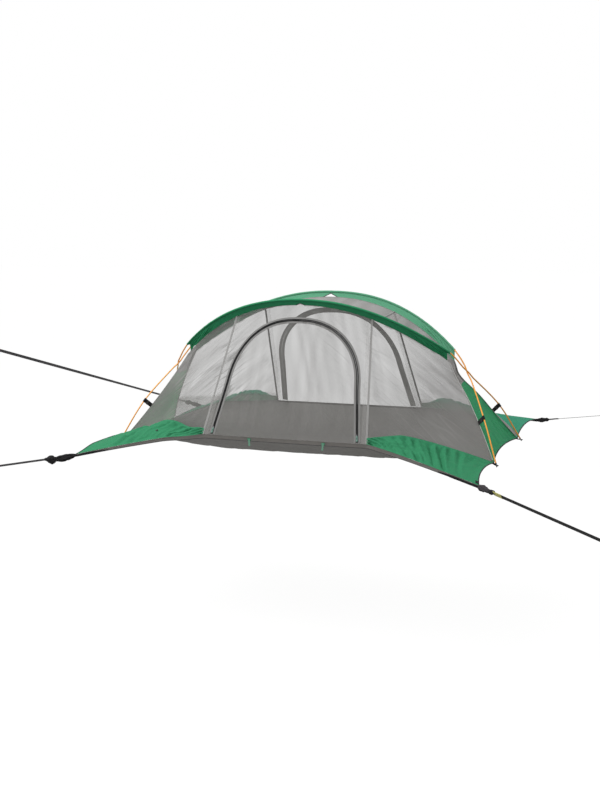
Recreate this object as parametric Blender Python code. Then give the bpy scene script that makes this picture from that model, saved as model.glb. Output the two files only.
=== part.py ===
# Suspended two-person tent: two crossing arch poles stretch a netting canopy over a floor that hangs
# from four corner straps. Metres, +Z up, X along the tent, the origin level with the pole feet and
# midway between the four corners. Front is -Y.

import math

import bpy
import bmesh
from mathutils import Vector

# Fabric, hardware and clearances
FABRIC = 0.0015  # every fabric panel, seam allowance included
GAP = 0.0003  # between pieces that touch
SEAM = GAP / 2  # each panel's share of the gap at a seam
POLE_RADIUS = 0.0043
POLE_JOINT_INSET = 0.014  # the leg's joint lies this far inside the sleeve's end
SLEEVE_CLEARANCE = 0.0012
WEBBING_WIDTH = 0.025
WEBBING_THICKNESS = 0.0024

# Plan and heights of the stretched floor
FOOT_X, FOOT_Y, FOOT_Z = 1.226, 0.371, 0.002
HEEL_X, HEEL_Y, HEEL_Z = 1.207, 0.355, 0.011  # where wall, end, floor and corner wing meet
HEEL_ROOM = 0.0174  # the side walls stop this far before the heel, where the foot tab takes over
CORNER_X, CORNER_Y, CORNER_Z = 1.240, 0.889, 0.008
EDGE_Y, EDGE_Z = 0.607, 0.130  # the straight side edge between the two upright seams
EDGE_BAND_HEIGHT, EDGE_BAND_TIP = 0.024, 0.014  # between the upright seams, and at the corners
EDGE_BAND_FALL = 1.2  # how late the band drops towards the corner
FLOOR_TUCK = 0.012  # the floor's border lies this far below the top of the edge band
BELLY_Z = -0.020  # lowest level of the empty floor
BELLY_FULLNESS = 4.0
END_SCALLOP_IN, END_SCALLOP_UP = 0.027, 0.019
CORNER_SCALLOP_IN, CORNER_SCALLOP_UP = 0.036, 0.026

# Canopy
SEAM_FOOT_X, SEAM_TOP_X = 0.520, 0.440
WING_ROOT_Z = 0.161
WING_CREST_X, WING_CREST_Z = 0.700, 0.176
WING_CLIMB, WING_FALL = 1.2, 1.24
WING_LAP_SHARE = 0.30  # share of the wing's root that is sewn on the wall above the floor seam
SLEEVE_HALF = 0.874
RIDGE_Y, RIDGE_Z = 0.272, 0.893
RIDGE_END_Y, RIDGE_END_Z = 0.050, 0.538
RIDGE_BOW, RIDGE_ARCH = 2.39, 2.11
FOLD_HOLLOW = 0.047
ROOF_SAG_SHARE = 0.050  # share of the roof's half width
NETTING_SHARE = 0.25  # share of the end fold that is netting, above the solid end panel

# Poles
POLE_OUT, POLE_RISE = 0.016, 0.031  # how far the pole runs outside and above the ridge, at the middle
POLE_END_OUT, POLE_END_RISE = 0.010, 0.062  # the same at the sleeve's end
POLE_Y, POLE_Z = RIDGE_Y + POLE_OUT, RIDGE_Z + POLE_RISE
POLE_END_Y, POLE_END_Z = RIDGE_END_Y + POLE_END_OUT, RIDGE_END_Z + POLE_END_RISE
POLE_BOW, POLE_ARCH = 2.65, 2.19
CROSS_X, CROSS_Z = 0.972, 0.472
CROSS_SPREAD = 0.060  # how far from the crossing one pole bends over the other
CLIP_X, CLIP_Y, CLIP_Z = 1.116, 0.220, 0.248
CLIP_SHARE = 0.592  # share of the end fold where the clip's tab is sewn
CLIP_WIDTH, CLIP_WALL = 0.020, 0.0024
NOTCH_HALF, NOTCH_RISE = 0.050, 0.022

# Doors
DOOR_FOOT, DOOR_SHOULDER = 0.463, 0.445
DOOR_SPRING_SHARE, DOOR_TOP_SHARE = 0.42, 0.882  # shares of the wall's height
DOOR_ROUND = 2.6
FOOT_CLEARANCE = 0.0004  # the door's lower corners draw in to clear the wall as it turns
TAPE_WIDTH, TAPE_THICKNESS, TAPE_START = 0.012, 0.0012, 0.007
SLIDER_LENGTH, SLIDER_WIDTH, SLIDER_THICKNESS = 0.016, 0.009, 0.005
PULL_LENGTH, PULL_THICKNESS = 0.026, 0.002
SLIDER_HEIGHT = 0.046  # from the zip's foot up to the slider's middle
TOGGLE_WIDTH, TOGGLE_LENGTH, TOGGLE_THICKNESS = 0.012, 0.042, 0.0018
TOGGLE_DROP = 0.010
TOGGLE_LEFT_X, TOGGLE_RIGHT_X = -0.215, 0.255

# Corner hardware and straps
GATHER_LENGTH, GATHER_HALF_WIDTH, GATHER_HALF_HEIGHT = 0.100, 0.021, 0.015
KNOT_LENGTH, KNOT_HALF_WIDTH, KNOT_HALF_HEIGHT = 0.052, 0.025, 0.020
TAB_WIDTH, TAB_THICKNESS, TAB_HOLE = 0.017, 0.0025, 0.0048
TAB_OUTER, TAB_INNER, TAB_DROP = 0.014, 0.006, 0.0042
TIP_COLLAR, TIP_NECK, TIP_BALL = 0.0055, 0.0021, 0.0037
TIP_SHOULDER, TIP_BODY, TIP_NOSE = 0.0066, 0.0060, 0.0065
PLATE_LENGTH, PLATE_WIDTH, PLATE_THICKNESS = 0.052, 0.042, 0.004
SLOT_LENGTH, SLOT_WIDTH = 0.028, 0.020
PLATE_CORNER, SLOT_CORNER = 0.008, 0.005

# Each strap's heading in plan from its corner, its rise per metre, its length and its roll in degrees
STRAPS = {
    "front_left": ((-0.555, -0.832), 0.013, 0.400, 12.0),
    "front_right": ((0.680, -0.733), -0.002, 0.980, 60.0),
    "back_right": ((0.808, 0.589), 0.001, 0.385, 12.0),
    "back_left": ((-0.978, 0.208), 0.139, 2.050, 50.0),
}

# The straps don't pull alike: the front left corner and wing stand higher, and the back right corner
FRONT_LEFT_LIFT, FRONT_LEFT_BILLOW = 0.013, 0.022
BILLOW_FROM_EDGE = 0.15  # the billow is full this far in from the edge band
LIFT_START_X, LIFT_RUN_X, LIFT_RUN_Y = 0.59, 0.17, 0.11
LIFT_FADE_Z, LIFT_RUN_Z = 0.18, 0.35
BACK_RIGHT_LIFT, BACK_RIGHT_RUN_Y = 0.027, 0.40

# Sampling
RIDGE_HALF_STEPS = 4  # between the apex and the upright seam
SHOULDER_STEPS = 5  # between the upright seam and the sleeve's end
FOLD_STEPS = 8
WALL_ROWS = 6
ACROSS = 10
FLOOR_HALF_STEPS = 4
WING_ROWS = 5
DOOR_LEG_STEPS, DOOR_TURN_STEPS, DOOR_FRAME_ROWS = 3, 3, 3
DOOR_RINGS, DOOR_SILL_STEPS = 3, 6
ROUND_SIDES = 10
STRAP_STEPS = 12

GREEN = (0.045, 0.290, 0.150)
DARK_GREEN = (0.010, 0.150, 0.070)
PALE_GREEN = (0.180, 0.440, 0.290)
NETTING = (0.480, 0.475, 0.465)
TAPE_GREY = (0.250, 0.245, 0.240)
FLOOR_GREY = (0.130, 0.125, 0.120)
BLACK = (0.018, 0.017, 0.019)
ORANGE = (0.780, 0.300, 0.060)
STEEL = (0.520, 0.520, 0.540)
UP = Vector((0, 0, 1))


def material(name, colour, roughness, metallic):
    made = bpy.data.materials.new(name)
    made.use_nodes = True
    shader = made.node_tree.nodes["Principled BSDF"]
    shader.inputs["Base Color"].default_value = (*colour, 1.0)
    shader.inputs["Roughness"].default_value = roughness
    shader.inputs["Metallic"].default_value = metallic
    return made


def add_object(name, points, faces, colour, roughness=0.75, metallic=0.0):
    """One closed body from points and faces, turned so that its faces point outwards."""
    mesh = bpy.data.meshes.new(name)
    mesh.from_pydata([tuple(p) for p in points], [], faces)
    work = bmesh.new()
    work.from_mesh(mesh)
    bmesh.ops.recalc_face_normals(work, faces=work.faces)
    work.to_mesh(mesh)
    work.free()
    mesh.shade_smooth()
    mesh.set_sharp_from_angle(angle=math.radians(40))
    made = bpy.data.objects.new(name, mesh)
    made.data.materials.append(material(name, colour, roughness, metallic))
    bpy.context.scene.collection.objects.link(made)
    return made


def other_hand(source, name, x=1, y=1):
    """A mirrored copy of a piece, across x, y or both."""
    points = [(v.co.x * x, v.co.y * y, v.co.z) for v in source.data.vertices]
    faces = [tuple(p.vertices) for p in source.data.polygons]
    shader = source.data.materials[0].node_tree.nodes["Principled BSDF"].inputs
    colour = tuple(shader["Base Color"].default_value)[:3]
    return add_object(
        name, points, faces, colour, shader["Roughness"].default_value, shader["Metallic"].default_value
    )


def flipped(p, x=1, y=1):
    return Vector((p.x * x, p.y * y, p.z))


def lerp(a, b, t):
    return a + (b - a) * t


def along(points, t):
    """The point at share t of a list of points, on the straight run between two of them."""
    place = t * (len(points) - 1)
    i = min(int(place), len(points) - 2)
    return points[i].lerp(points[i + 1], place - i)


def smooth_curve(knots, t):
    """Catmull-Rom through the knots, t from 0 to the number of spans."""
    i = min(int(t), len(knots) - 2)
    f = t - i
    p1, p2 = knots[i], knots[i + 1]
    p0 = knots[i - 1] if i else p1 * 2 - p2
    p3 = knots[i + 2] if i + 2 < len(knots) else p2 * 2 - p1
    rise = (p2 - p0) * f + (p0 * 2 - p1 * 5 + p2 * 4 - p3) * f**2 + (p1 * 3 - p0 - p2 * 3 + p3) * f**3
    return p1 + rise * 0.5


# Fabric panels are a middle surface of triangles, with an offset to both sides for each point

def thicken(name, points, offsets, triangles, colour):
    """A closed skin round a middle surface."""
    count = len(points)
    both = [p + o for p, o in zip(points, offsets)] + [p - o for p, o in zip(points, offsets)]
    faces = list(triangles) + [(c + count, b + count, a + count) for a, b, c in triangles]
    edges = {pair for t in triangles for pair in zip(t, t[1:] + t[:1])}
    for a, b in sorted(edges):
        if (b, a) not in edges:
            faces += [(b, a, a + count), (b, a + count, b + count)]
    return add_object(name, both, faces, colour)


def grid_triangles(height, width):
    made = []
    for i in range(height - 1):
        for j in range(width - 1):
            a, b = i * width + j, i * width + j + 1
            made += [(a, b, b + width), (a, b + width, a + width)]
    return made


def surface_offsets(points, triangles, thickness):
    """Half the thickness along the average normal at each point."""
    normals = [Vector() for _ in points]
    for a, b, c in triangles:
        normal = (points[b] - points[a]).cross(points[c] - points[a])
        for i in (a, b, c):
            normals[i] += normal
    return [n.normalized() * thickness / 2 for n in normals]


def mitre(tangent, into_a, into_b):
    """The corner that two panels share along a seam: an offset away from both, and how far each draws
    back in its own surface so that the gap between them holds."""
    t = tangent.normalized()
    a = (into_a - t * into_a.dot(t)).normalized()
    b = (into_b - t * into_b.dot(t)).normalized()
    sine = max(math.sin(a.angle(b) / 2), 0.35)
    return -(a + b).normalized() * (FABRIC / 2) / sine, SEAM / sine


def seam_mitres(seam, inside_a, inside_b):
    """A mitre for each point of a seam, given each panel's next point inwards."""
    last = len(seam) - 1
    made = []
    for k, p in enumerate(seam):
        tangent = seam[min(k + 1, last)] - seam[max(k - 1, 0)]
        made.append(mitre(tangent, inside_a[k] - p, inside_b[k] - p))
    return made


def mirrored_mitres(mitres, x=1, y=1):
    return [(flipped(offset, x, y), pull) for offset, pull in mitres]


def grid_panel(name, rows, colour, edges=None, thickness=FABRIC):
    """A panel from rows of points. Edges holds mitres for a border, one for each of its points, or None
    for a plain cut: first_row, last_row, first_column and last_column."""
    edges = edges or {}
    height, width = len(rows), len(rows[0])
    flat = [p for row in rows for p in row]
    triangles = grid_triangles(height, width)
    offsets = surface_offsets(flat, triangles, thickness)
    borders = {
        "first_row": [(k, k + width) for k in range(width)],
        "last_row": [((height - 1) * width + k, (height - 2) * width + k) for k in range(width)],
        "first_column": [(k * width, k * width + 1) for k in range(height)],
        "last_column": [(k * width + width - 1, k * width + width - 2) for k in range(height)],
    }
    moved = [p.copy() for p in flat]
    for side, pairs in borders.items():
        given = edges.get(side) or [None] * len(pairs)
        for (index, inner), corner in zip(pairs, given):
            offset, pull = corner or (None, SEAM)
            moved[index] += (flat[inner] - flat[index]).normalized() * pull
            if offset:
                offsets[index] = offset * (1 if offset.dot(offsets[index]) > 0 else -1)
    return thicken(name, moved, offsets, triangles, colour)


# The lines that the canopy hangs between, on the front, with the right half written out

def ridge(x):
    """The seam where roof, side wall and sleeve meet."""
    t = abs(x) / SLEEVE_HALF
    y, z = lerp(RIDGE_Y, RIDGE_END_Y, t**RIDGE_BOW), lerp(RIDGE_Z, RIDGE_END_Z, t**RIDGE_ARCH)
    return Vector((x, -y, z))


HEEL = Vector((HEEL_X, -HEEL_Y, HEEL_Z))
CORNER = Vector((CORNER_X, -CORNER_Y, CORNER_Z))
FOLD_SHARE = 1 - HEEL_ROOM / (HEEL - ridge(SLEEVE_HALF)).length  # of the fold that the walls follow


def fold(t):
    """The corner between side wall and end, from the sleeve's end down to the heel."""
    p = ridge(SLEEVE_HALF).lerp(HEEL, t)
    p.y += FOLD_HOLLOW * 4 * t * (1 - t)
    return p


def upright_seam(z):
    """A point of the straight seam from the side edge up to the ridge."""
    foot, top = Vector((SEAM_FOOT_X, -EDGE_Y, EDGE_Z)), ridge(SEAM_TOP_X)
    return foot.lerp(top, (z - EDGE_Z) / (top.z - EDGE_Z))


def wing_root(t):
    """Where the corner wing meets the wall, from the upright seam to the heel."""
    start = upright_seam(WING_ROOT_Z)
    p = start.lerp(HEEL, t)
    if p.x < WING_CREST_X:
        share = (WING_CREST_X - p.x) / (WING_CREST_X - start.x)
        p.z = lerp(WING_CREST_Z, WING_ROOT_Z, share**WING_CLIMB)
    else:
        p.z = lerp(WING_CREST_Z, HEEL_Z, ((p.x - WING_CREST_X) / (HEEL_X - WING_CREST_X)) ** WING_FALL)
    return p


def edge_line(x):
    """The top of the edge band: straight between the upright seams, then out to the corner."""
    s = max(abs(x) - SEAM_FOOT_X, 0) / (CORNER_X - SEAM_FOOT_X)
    return Vector((x, -lerp(EDGE_Y, CORNER_Y, s), lerp(EDGE_Z, CORNER_Z, s**EDGE_BAND_FALL)))


def edge_band_height(x):
    """The band narrows from the upright seams to the corners."""
    share = max(abs(x) - SEAM_FOOT_X, 0) / (CORNER_X - SEAM_FOOT_X)
    return lerp(EDGE_BAND_HEIGHT, EDGE_BAND_TIP, share)


def corner_scallop(t):
    """The corner wing's free edge, from the heel to the corner."""
    bow = 1 - abs(2 * t - 1) ** 2.2
    return HEEL.lerp(CORNER, t) + Vector((-CORNER_SCALLOP_IN * bow, 0, CORNER_SCALLOP_UP * bow))


def pole_arch(x):
    """The pole's centre line inside its sleeve."""
    t = abs(x) / SLEEVE_HALF
    y, z = lerp(POLE_Y, POLE_END_Y, t**POLE_BOW), lerp(POLE_Z, POLE_END_Z, t**POLE_ARCH)
    return Vector((x, -y, z))


def wall_point(u, v):
    """A point of the front wall's middle: u along its foot, v from foot to ridge."""
    return Vector((u, -EDGE_Y, EDGE_Z)).lerp(ridge(u * SEAM_TOP_X / SEAM_FOOT_X), v)


def across(half, x, z, x_bow=0.0, z_bow=0.0, z_power=2.0):
    """Points from front to back at one station, closer together near the borders. The bows are the
    shift of the middle."""
    row = []
    for i in range(ACROSS + 1):
        s = math.sin(math.pi / 2 * (2 * i / ACROSS - 1))
        row.append(Vector((x + x_bow * (1 - s * s), half * s, z + z_bow * (1 - abs(s) ** z_power))))
    return row


def end_row(p, t):
    """Across the roof or an end: t is 0 at the sleeve's end and 1 at the heel."""
    sag = -ROOF_SAG_SHARE * -p.y * (1 - t)
    return across(-p.y, p.x, p.z, -END_SCALLOP_IN * t**2, sag + END_SCALLOP_UP * t**2)


MIDDLE_X = [SEAM_TOP_X * i / RIDGE_HALF_STEPS for i in range(-RIDGE_HALF_STEPS, RIDGE_HALF_STEPS + 1)]
SHOULDER_X = [lerp(SEAM_TOP_X, SLEEVE_HALF, i / SHOULDER_STEPS) for i in range(SHOULDER_STEPS + 1)]
FOLD_SHARES = [FOLD_SHARE * i / FOLD_STEPS for i in range(FOLD_STEPS + 1)]
NETTING_STEP = max(1, round(NETTING_SHARE * FOLD_STEPS))

SIDE_TOP = [ridge(x) for x in SHOULDER_X] + [fold(t) for t in FOLD_SHARES[1:]]
SIDE_SHARES = [i / (len(SIDE_TOP) - 1) for i in range(len(SIDE_TOP))]
WING_ROOT = [wing_root(FOLD_SHARE * s) for s in SIDE_SHARES]


def floor_seam():
    """The foot of the side wall: below the wing's root near the upright seam, then on it."""
    tuck = Vector((SEAM_FOOT_X + GAP, FABRIC + GAP * 2 - EDGE_Y, EDGE_Z))
    made = []
    for share, root, top in zip(SIDE_SHARES, WING_ROOT, SIDE_TOP):
        drop = max(1 - share / WING_LAP_SHARE, 0) ** 2
        made.append(root + (tuck - WING_ROOT[0]) * drop)
    return made


FLOOR_SEAM = floor_seam()
SHOULDER_ROWS = [end_row(ridge(x), 0) for x in SHOULDER_X]
MIDDLE_ROWS = [end_row(ridge(x), 0) for x in MIDDLE_X]
END_ROWS = [end_row(fold(t), t) for t in FOLD_SHARES] + [end_row(HEEL, 1)]


def floor_column(p, share):
    """Across the floor from a point of its front border; share is 0 in the middle, 1 at the end."""
    belly = lerp(BELLY_Z, HEEL_Z + END_SCALLOP_UP, share)
    fullness = lerp(BELLY_FULLNESS, 2.0, share)
    return across(-p.y, p.x, p.z, -END_SCALLOP_IN * share, belly - p.z, fullness)


def floor_columns():
    """The floor's right half, from the middle to the heel."""
    tuck_y = EDGE_Y - FABRIC / 2 - GAP - FABRIC * 0.36
    middle_half = SEAM_FOOT_X - FABRIC
    made = []
    for i in range(FLOOR_HALF_STEPS + 1):
        border = Vector((middle_half * i / FLOOR_HALF_STEPS, -tuck_y, EDGE_Z - FLOOR_TUCK))
        made.append(floor_column(border, 0))
    for p in [*FLOOR_SEAM, HEEL]:
        made.append(floor_column(p, ((p.x - SEAM_FOOT_X) / (HEEL_X - SEAM_FOOT_X)) ** 3))
    return made


FLOOR_RIGHT = floor_columns()
SIDE_COLUMNS = FLOOR_RIGHT[FLOOR_HALF_STEPS + 1:-1]

# The mitres of every seam where two panels meet at an angle
SIDE_TOP_MITRES = seam_mitres(
    SIDE_TOP, FLOOR_SEAM, [r[1] for r in SHOULDER_ROWS + END_ROWS[1:-1]]
)
MIDDLE_TOP_MITRES = seam_mitres(
    [ridge(x) for x in MIDDLE_X],
    [wall_point(x * SEAM_FOOT_X / SEAM_TOP_X, 0) for x in MIDDLE_X],
    [r[1] for r in MIDDLE_ROWS],
)
MIDDLE_TOP_MITRES[-1] = SIDE_TOP_MITRES[0]
MIDDLE_TOP_MITRES[0] = mirrored_mitres(SIDE_TOP_MITRES[:1], x=-1)[0]
FLOOR_MITRES = seam_mitres(FLOOR_SEAM, SIDE_TOP, [c[1] for c in SIDE_COLUMNS])
END_MITRES = seam_mitres(END_ROWS[-1], END_ROWS[-2], FLOOR_RIGHT[-2])


def make_floor():
    left = [[flipped(p, x=-1) for p in column] for column in reversed(FLOOR_RIGHT[1:])]
    columns = left + FLOOR_RIGHT
    middle = [None] * (2 * FLOOR_HALF_STEPS + 1)
    front = [None, *mirrored_mitres(FLOOR_MITRES[::-1], x=-1), *middle, *FLOOR_MITRES, None]
    edges = {
        "first_row": front,
        "last_row": [corner and (flipped(corner[0], y=-1), corner[1]) for corner in front],
        "first_column": mirrored_mitres(END_MITRES, x=-1),
        "last_column": END_MITRES,
    }
    grid_panel("floor", [list(row) for row in zip(*columns)], FLOOR_GREY, edges)


def make_side_walls():
    rows = []
    for i in range(WALL_ROWS + 1):
        rows.append([a.lerp(b, i / WALL_ROWS) for a, b in zip(FLOOR_SEAM, SIDE_TOP)])
    right = grid_panel(
        "front_right_wall", rows, NETTING, {"first_row": FLOOR_MITRES, "last_row": SIDE_TOP_MITRES}
    )
    other_hand(right, "front_left_wall", x=-1)
    other_hand(right, "back_right_wall", y=-1)
    other_hand(right, "back_left_wall", x=-1, y=-1)


def door_outline():
    """The arch of the door from its left foot over the top to its right foot, as wall shares."""
    legs = []
    for i in range(DOOR_LEG_STEPS):
        s = i / DOOR_LEG_STEPS
        legs.append((lerp(DOOR_FOOT, DOOR_SHOULDER, s), DOOR_SPRING_SHARE * s))
    top_steps = 2 * (DOOR_TURN_STEPS + RIDGE_HALF_STEPS)
    arch = []
    for i in range(top_steps + 1):
        if i <= DOOR_TURN_STEPS:
            angle = math.pi / 4 * i / DOOR_TURN_STEPS
        elif i >= top_steps - DOOR_TURN_STEPS:
            angle = math.pi - math.pi / 4 * (top_steps - i) / DOOR_TURN_STEPS
        else:
            angle = math.pi / 4 + math.pi / 2 * (i - DOOR_TURN_STEPS) / (2 * RIDGE_HALF_STEPS)
        cosine, sine = math.cos(angle), math.sin(angle)
        u = -DOOR_SHOULDER * math.copysign(abs(cosine) ** (2 / DOOR_ROUND), cosine)
        arch.append((u, lerp(DOOR_SPRING_SHARE, DOOR_TOP_SHARE, sine ** (2 / DOOR_ROUND))))
    return [(-u, v) for u, v in legs] + arch + legs[::-1]


DOOR = door_outline()


def sill_mitre(point):
    """A level cut along the foot of wall and door, where they stand on the edge band."""
    up = (ridge(point.x * SEAM_TOP_X / SEAM_FOOT_X) - Vector((point.x, -EDGE_Y, EDGE_Z))).normalized()
    return Vector((0, -1, 0)) * (FABRIC / 2) / up.z, SEAM / up.z


def middle_wall_rows():
    """Rows from the door's outline to the upright seams and the ridge."""
    uprights = DOOR_LEG_STEPS + DOOR_TURN_STEPS
    outer = [(-SEAM_FOOT_X, i / uprights) for i in range(uprights)]
    outer += [(x * SEAM_FOOT_X / SEAM_TOP_X, 1.0) for x in MIDDLE_X]
    outer += [(SEAM_FOOT_X, i / uprights) for i in reversed(range(uprights))]
    rows = []
    for r in range(DOOR_FRAME_ROWS + 1):
        s = r / DOOR_FRAME_ROWS
        rows.append([wall_point(lerp(a[0], b[0], s), lerp(a[1], b[1], s)) for a, b in zip(DOOR, outer)])
    return rows


def make_middle_wall():
    """The wall round the door, from upright seam to upright seam."""
    rows = middle_wall_rows()
    plain = [None] * (DOOR_LEG_STEPS + DOOR_TURN_STEPS)
    edges = {
        "last_row": plain + MIDDLE_TOP_MITRES + plain,
        "first_column": [sill_mitre(row[0]) for row in rows],
        "last_column": [sill_mitre(row[-1]) for row in rows],
    }
    front = grid_panel("front_middle_wall", rows, NETTING, edges)
    other_hand(front, "back_middle_wall", y=-1)


def door_ring(border, ring):
    """The border drawn in towards the door's middle, in DOOR_RINGS steps."""
    s = ring / DOOR_RINGS
    return [wall_point(lerp(u, 0.0, s), lerp(v, DOOR_SPRING_SHARE, s)) for u, v in border]


def make_door():
    """A netting panel that fills the arch, from rings that shrink towards its middle."""
    sill = [(lerp(DOOR_FOOT, -DOOR_FOOT, i / DOOR_SILL_STEPS), 0.0) for i in range(1, DOOR_SILL_STEPS)]
    border = DOOR + sill
    points, triangles, count = [], [], len(border)
    for ring in range(DOOR_RINGS):
        points += door_ring(border, ring)
    points.append(wall_point(0.0, DOOR_SPRING_SHARE))
    for k in range(count):
        after = (k + 1) % count
        for ring in range(DOOR_RINGS - 1):
            a, b = ring * count + k, ring * count + after
            triangles += [(a, b, b + count), (a, b + count, a + count)]
        base = (DOOR_RINGS - 1) * count
        triangles.append((base + k, base + after, len(points) - 1))
    offsets = surface_offsets(points, triangles, FABRIC)
    moved = [p.copy() for p in points]
    for k, (_, v) in enumerate(border):
        chord = points[(k + 1) % count] - points[(k - 1) % count]
        inward = offsets[k].cross(chord).normalized()
        if inward.dot(points[-1] - points[k]) < 0:
            inward.negate()
        moved[k] += inward * SEAM
        if v == 0:
            offset, pull = sill_mitre(points[k])
            moved[k].z = EDGE_Z + pull
            moved[k].x *= 1 - FOOT_CLEARANCE / DOOR_FOOT
            offsets[k] = offset * (1 if offset.dot(offsets[k]) > 0 else -1)
    front = thicken("front_door", moved, offsets, triangles, NETTING)
    other_hand(front, "back_door", y=-1)


def tape_rows(second):
    """The middle lines of a zip tape's two edges: on the door's outline, and towards a second line."""
    border = [wall_point(u, v) for u, v in DOOR]
    lift = FABRIC + GAP * 4 + TAPE_THICKNESS
    normals = surface_offsets(border + second, grid_triangles(2, len(border)), lift)
    last = len(border) - 1
    near, far = [], []
    for k, (p, q) in enumerate(zip(border, second)):
        chord = (border[min(k + 1, last)] - border[max(k - 1, 0)]).normalized()
        out = normals[k] * (1 if normals[k].y < 0 else -1)
        near.append(p + out)
        far.append(p + out + (q - p) * TAPE_WIDTH / chord.cross(q - p).length)
    for row in (near, far):
        row[0] += (row[1] - row[0]).normalized() * TAPE_START
        row[-1] += (row[-2] - row[-1]).normalized() * TAPE_START
    return [near, far]


def make_zip_tapes():
    """Two tapes along the outline, one sewn to the wall and one to the door."""
    seconds = {"front_wall_tape": middle_wall_rows()[1], "front_door_tape": door_ring(DOOR, 1)}
    for name, second in seconds.items():
        tape = grid_panel(name, tape_rows(second), TAPE_GREY, thickness=TAPE_THICKNESS)
        other_hand(tape, name.replace("front", "back"), y=-1)


def slider_line():
    """Where the right slider of the front door stands, and its directions along the zip and outwards."""
    wall, door = tape_rows(middle_wall_rows()[1])[0], tape_rows(door_ring(DOOR, 1))[0]
    foot, higher = (wall[-1] + door[-1]) / 2, (wall[-3] + door[-3]) / 2
    up = (higher - foot).normalized()
    normal = foot - wall_point(*DOOR[-1])
    normal = (normal - up * normal.dot(up)).normalized()
    return foot + up * SLIDER_HEIGHT + normal * (TAPE_THICKNESS / 2 + GAP * 2), up, normal


def extruded(name, outline, origin, x_axis, y_axis, depth, colour, roughness=0.6, metallic=0.0):
    """A flat outline pushed out to both sides of its plane."""
    out = x_axis.cross(y_axis).normalized() * depth / 2
    flat = [origin + x_axis * x + y_axis * y for x, y in outline]
    n = len(flat)
    faces = [tuple(range(n)), tuple(range(2 * n - 1, n - 1, -1))]
    faces += [(i, (i + 1) % n, (i + 1) % n + n, i + n) for i in range(n)]
    points = [p - out for p in flat] + [p + out for p in flat]
    return add_object(name, points, faces, colour, roughness, metallic)


def make_sliders():
    """The zip sliders with their hanging pulls, stopped near the foot of each leg."""
    base, up, normal = slider_line()
    half, top = SLIDER_LENGTH / 2, SLIDER_THICKNESS
    outline = [
        (half, 0), (half, top * 0.6), (half * 0.5, top), (-half - PULL_LENGTH, top),
        (-half - PULL_LENGTH, top - PULL_THICKNESS), (-half, top - PULL_THICKNESS), (-half, 0),
    ]
    slider = extruded("front_right_slider", outline, base, up, normal, SLIDER_WIDTH, PALE_GREEN)
    other_hand(slider, "front_left_slider", x=-1)
    other_hand(slider, "back_right_slider", y=-1)
    other_hand(slider, "back_left_slider", x=-1, y=-1)


def make_roof():
    """The netting between the ridges, with the netting tops of both ends."""
    right = SHOULDER_ROWS[1:] + END_ROWS[1:NETTING_STEP + 1]
    left = [[flipped(p, x=-1) for p in row] for row in reversed(right)]
    columns = left + MIDDLE_ROWS + right
    side = SIDE_TOP_MITRES[1:SHOULDER_STEPS + NETTING_STEP + 1]
    front = mirrored_mitres(side[::-1], x=-1) + MIDDLE_TOP_MITRES + side
    edges = {"first_row": front, "last_row": mirrored_mitres(front, y=-1)}
    grid_panel("roof", [list(row) for row in zip(*columns)], NETTING, edges)


def make_ends():
    columns = END_ROWS[NETTING_STEP:]
    side = [*SIDE_TOP_MITRES[SHOULDER_STEPS + NETTING_STEP:], None]
    edges = {
        "first_row": side,
        "last_row": [corner and (flipped(corner[0], y=-1), corner[1]) for corner in side],
        "last_column": END_MITRES,
    }
    right = grid_panel("right_end_panel", [list(row) for row in zip(*columns)], GREEN, edges)
    other_hand(right, "left_end_panel", x=-1)


def wing_rows():
    """A patch between the wing's root, the edge band, and its free edge from heel to corner."""
    lap = FABRIC + GAP * 2
    root = []
    for k, p in enumerate(WING_ROOT):
        out = FLOOR_MITRES[k][0].normalized()
        root.append(p + Vector((out.x, out.y, 0)).normalized() * lap)
    root.append(HEEL + Vector((0.6, -0.8, 0)) * lap)
    last = len(root) - 1
    rise = Vector((0, 0, FABRIC / 2 + SEAM))
    foot = []
    for k in range(last + 1):
        x = lerp(SEAM_FOOT_X + GAP, CORNER_X, k / last)
        foot.append(edge_line(x) + rise)
    rows = []
    for i in range(WING_ROWS + 1):
        v = i / WING_ROWS
        inner, outer = root[0].lerp(foot[0], v), corner_scallop(v)
        outer += (root[-1] - HEEL) * (1 - v) + rise * v
        row = []
        for k in range(last + 1):
            u = k / last
            ruled = root[k].lerp(foot[k], v)
            flat = root[0].lerp(foot[0], v).lerp(root[-1].lerp(foot[-1], v), u)
            row.append(ruled + inner.lerp(outer, u) - flat)
        rows.append(row)
    return rows


def make_wings():
    right = grid_panel("front_right_wing", wing_rows(), GREEN)
    other_hand(right, "front_left_wing", x=-1)
    other_hand(right, "back_right_wing", y=-1)
    other_hand(right, "back_left_wing", x=-1, y=-1)


def make_edge_bands():
    """The webbing that carries the side edge from corner to corner."""
    x = [CORNER_X * (i / 12) for i in range(-12, 13)]
    places = sorted({*x, -SEAM_FOOT_X, SEAM_FOOT_X, -SEAM_FOOT_X - 0.03, SEAM_FOOT_X + 0.03})
    top = [edge_line(place) for place in places]
    foot = [p - UP * edge_band_height(p.x) for p in top]
    front = grid_panel("front_edge_band", [top, foot], FLOOR_GREY)
    other_hand(front, "back_edge_band", y=-1)


def make_toggles():
    """The tabs that hold a rolled-down door, sewn below the side edge."""
    y = -(EDGE_Y + FABRIC / 2 + GAP + TOGGLE_THICKNESS / 2)
    half = TOGGLE_WIDTH / 2
    top, foot = EDGE_Z - TOGGLE_DROP, EDGE_Z - TOGGLE_DROP - TOGGLE_LENGTH
    outline = [(-half, foot + half), (-half * 0.5, foot), (half * 0.5, foot), (half, foot + half),
               (half, top), (-half, top)]
    for name, x in (("left_toggle", TOGGLE_LEFT_X), ("right_toggle", TOGGLE_RIGHT_X)):
        extruded(name, outline, Vector((x, y, 0)), Vector((1, 0, 0)), UP, TOGGLE_THICKNESS, PALE_GREEN)


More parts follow.
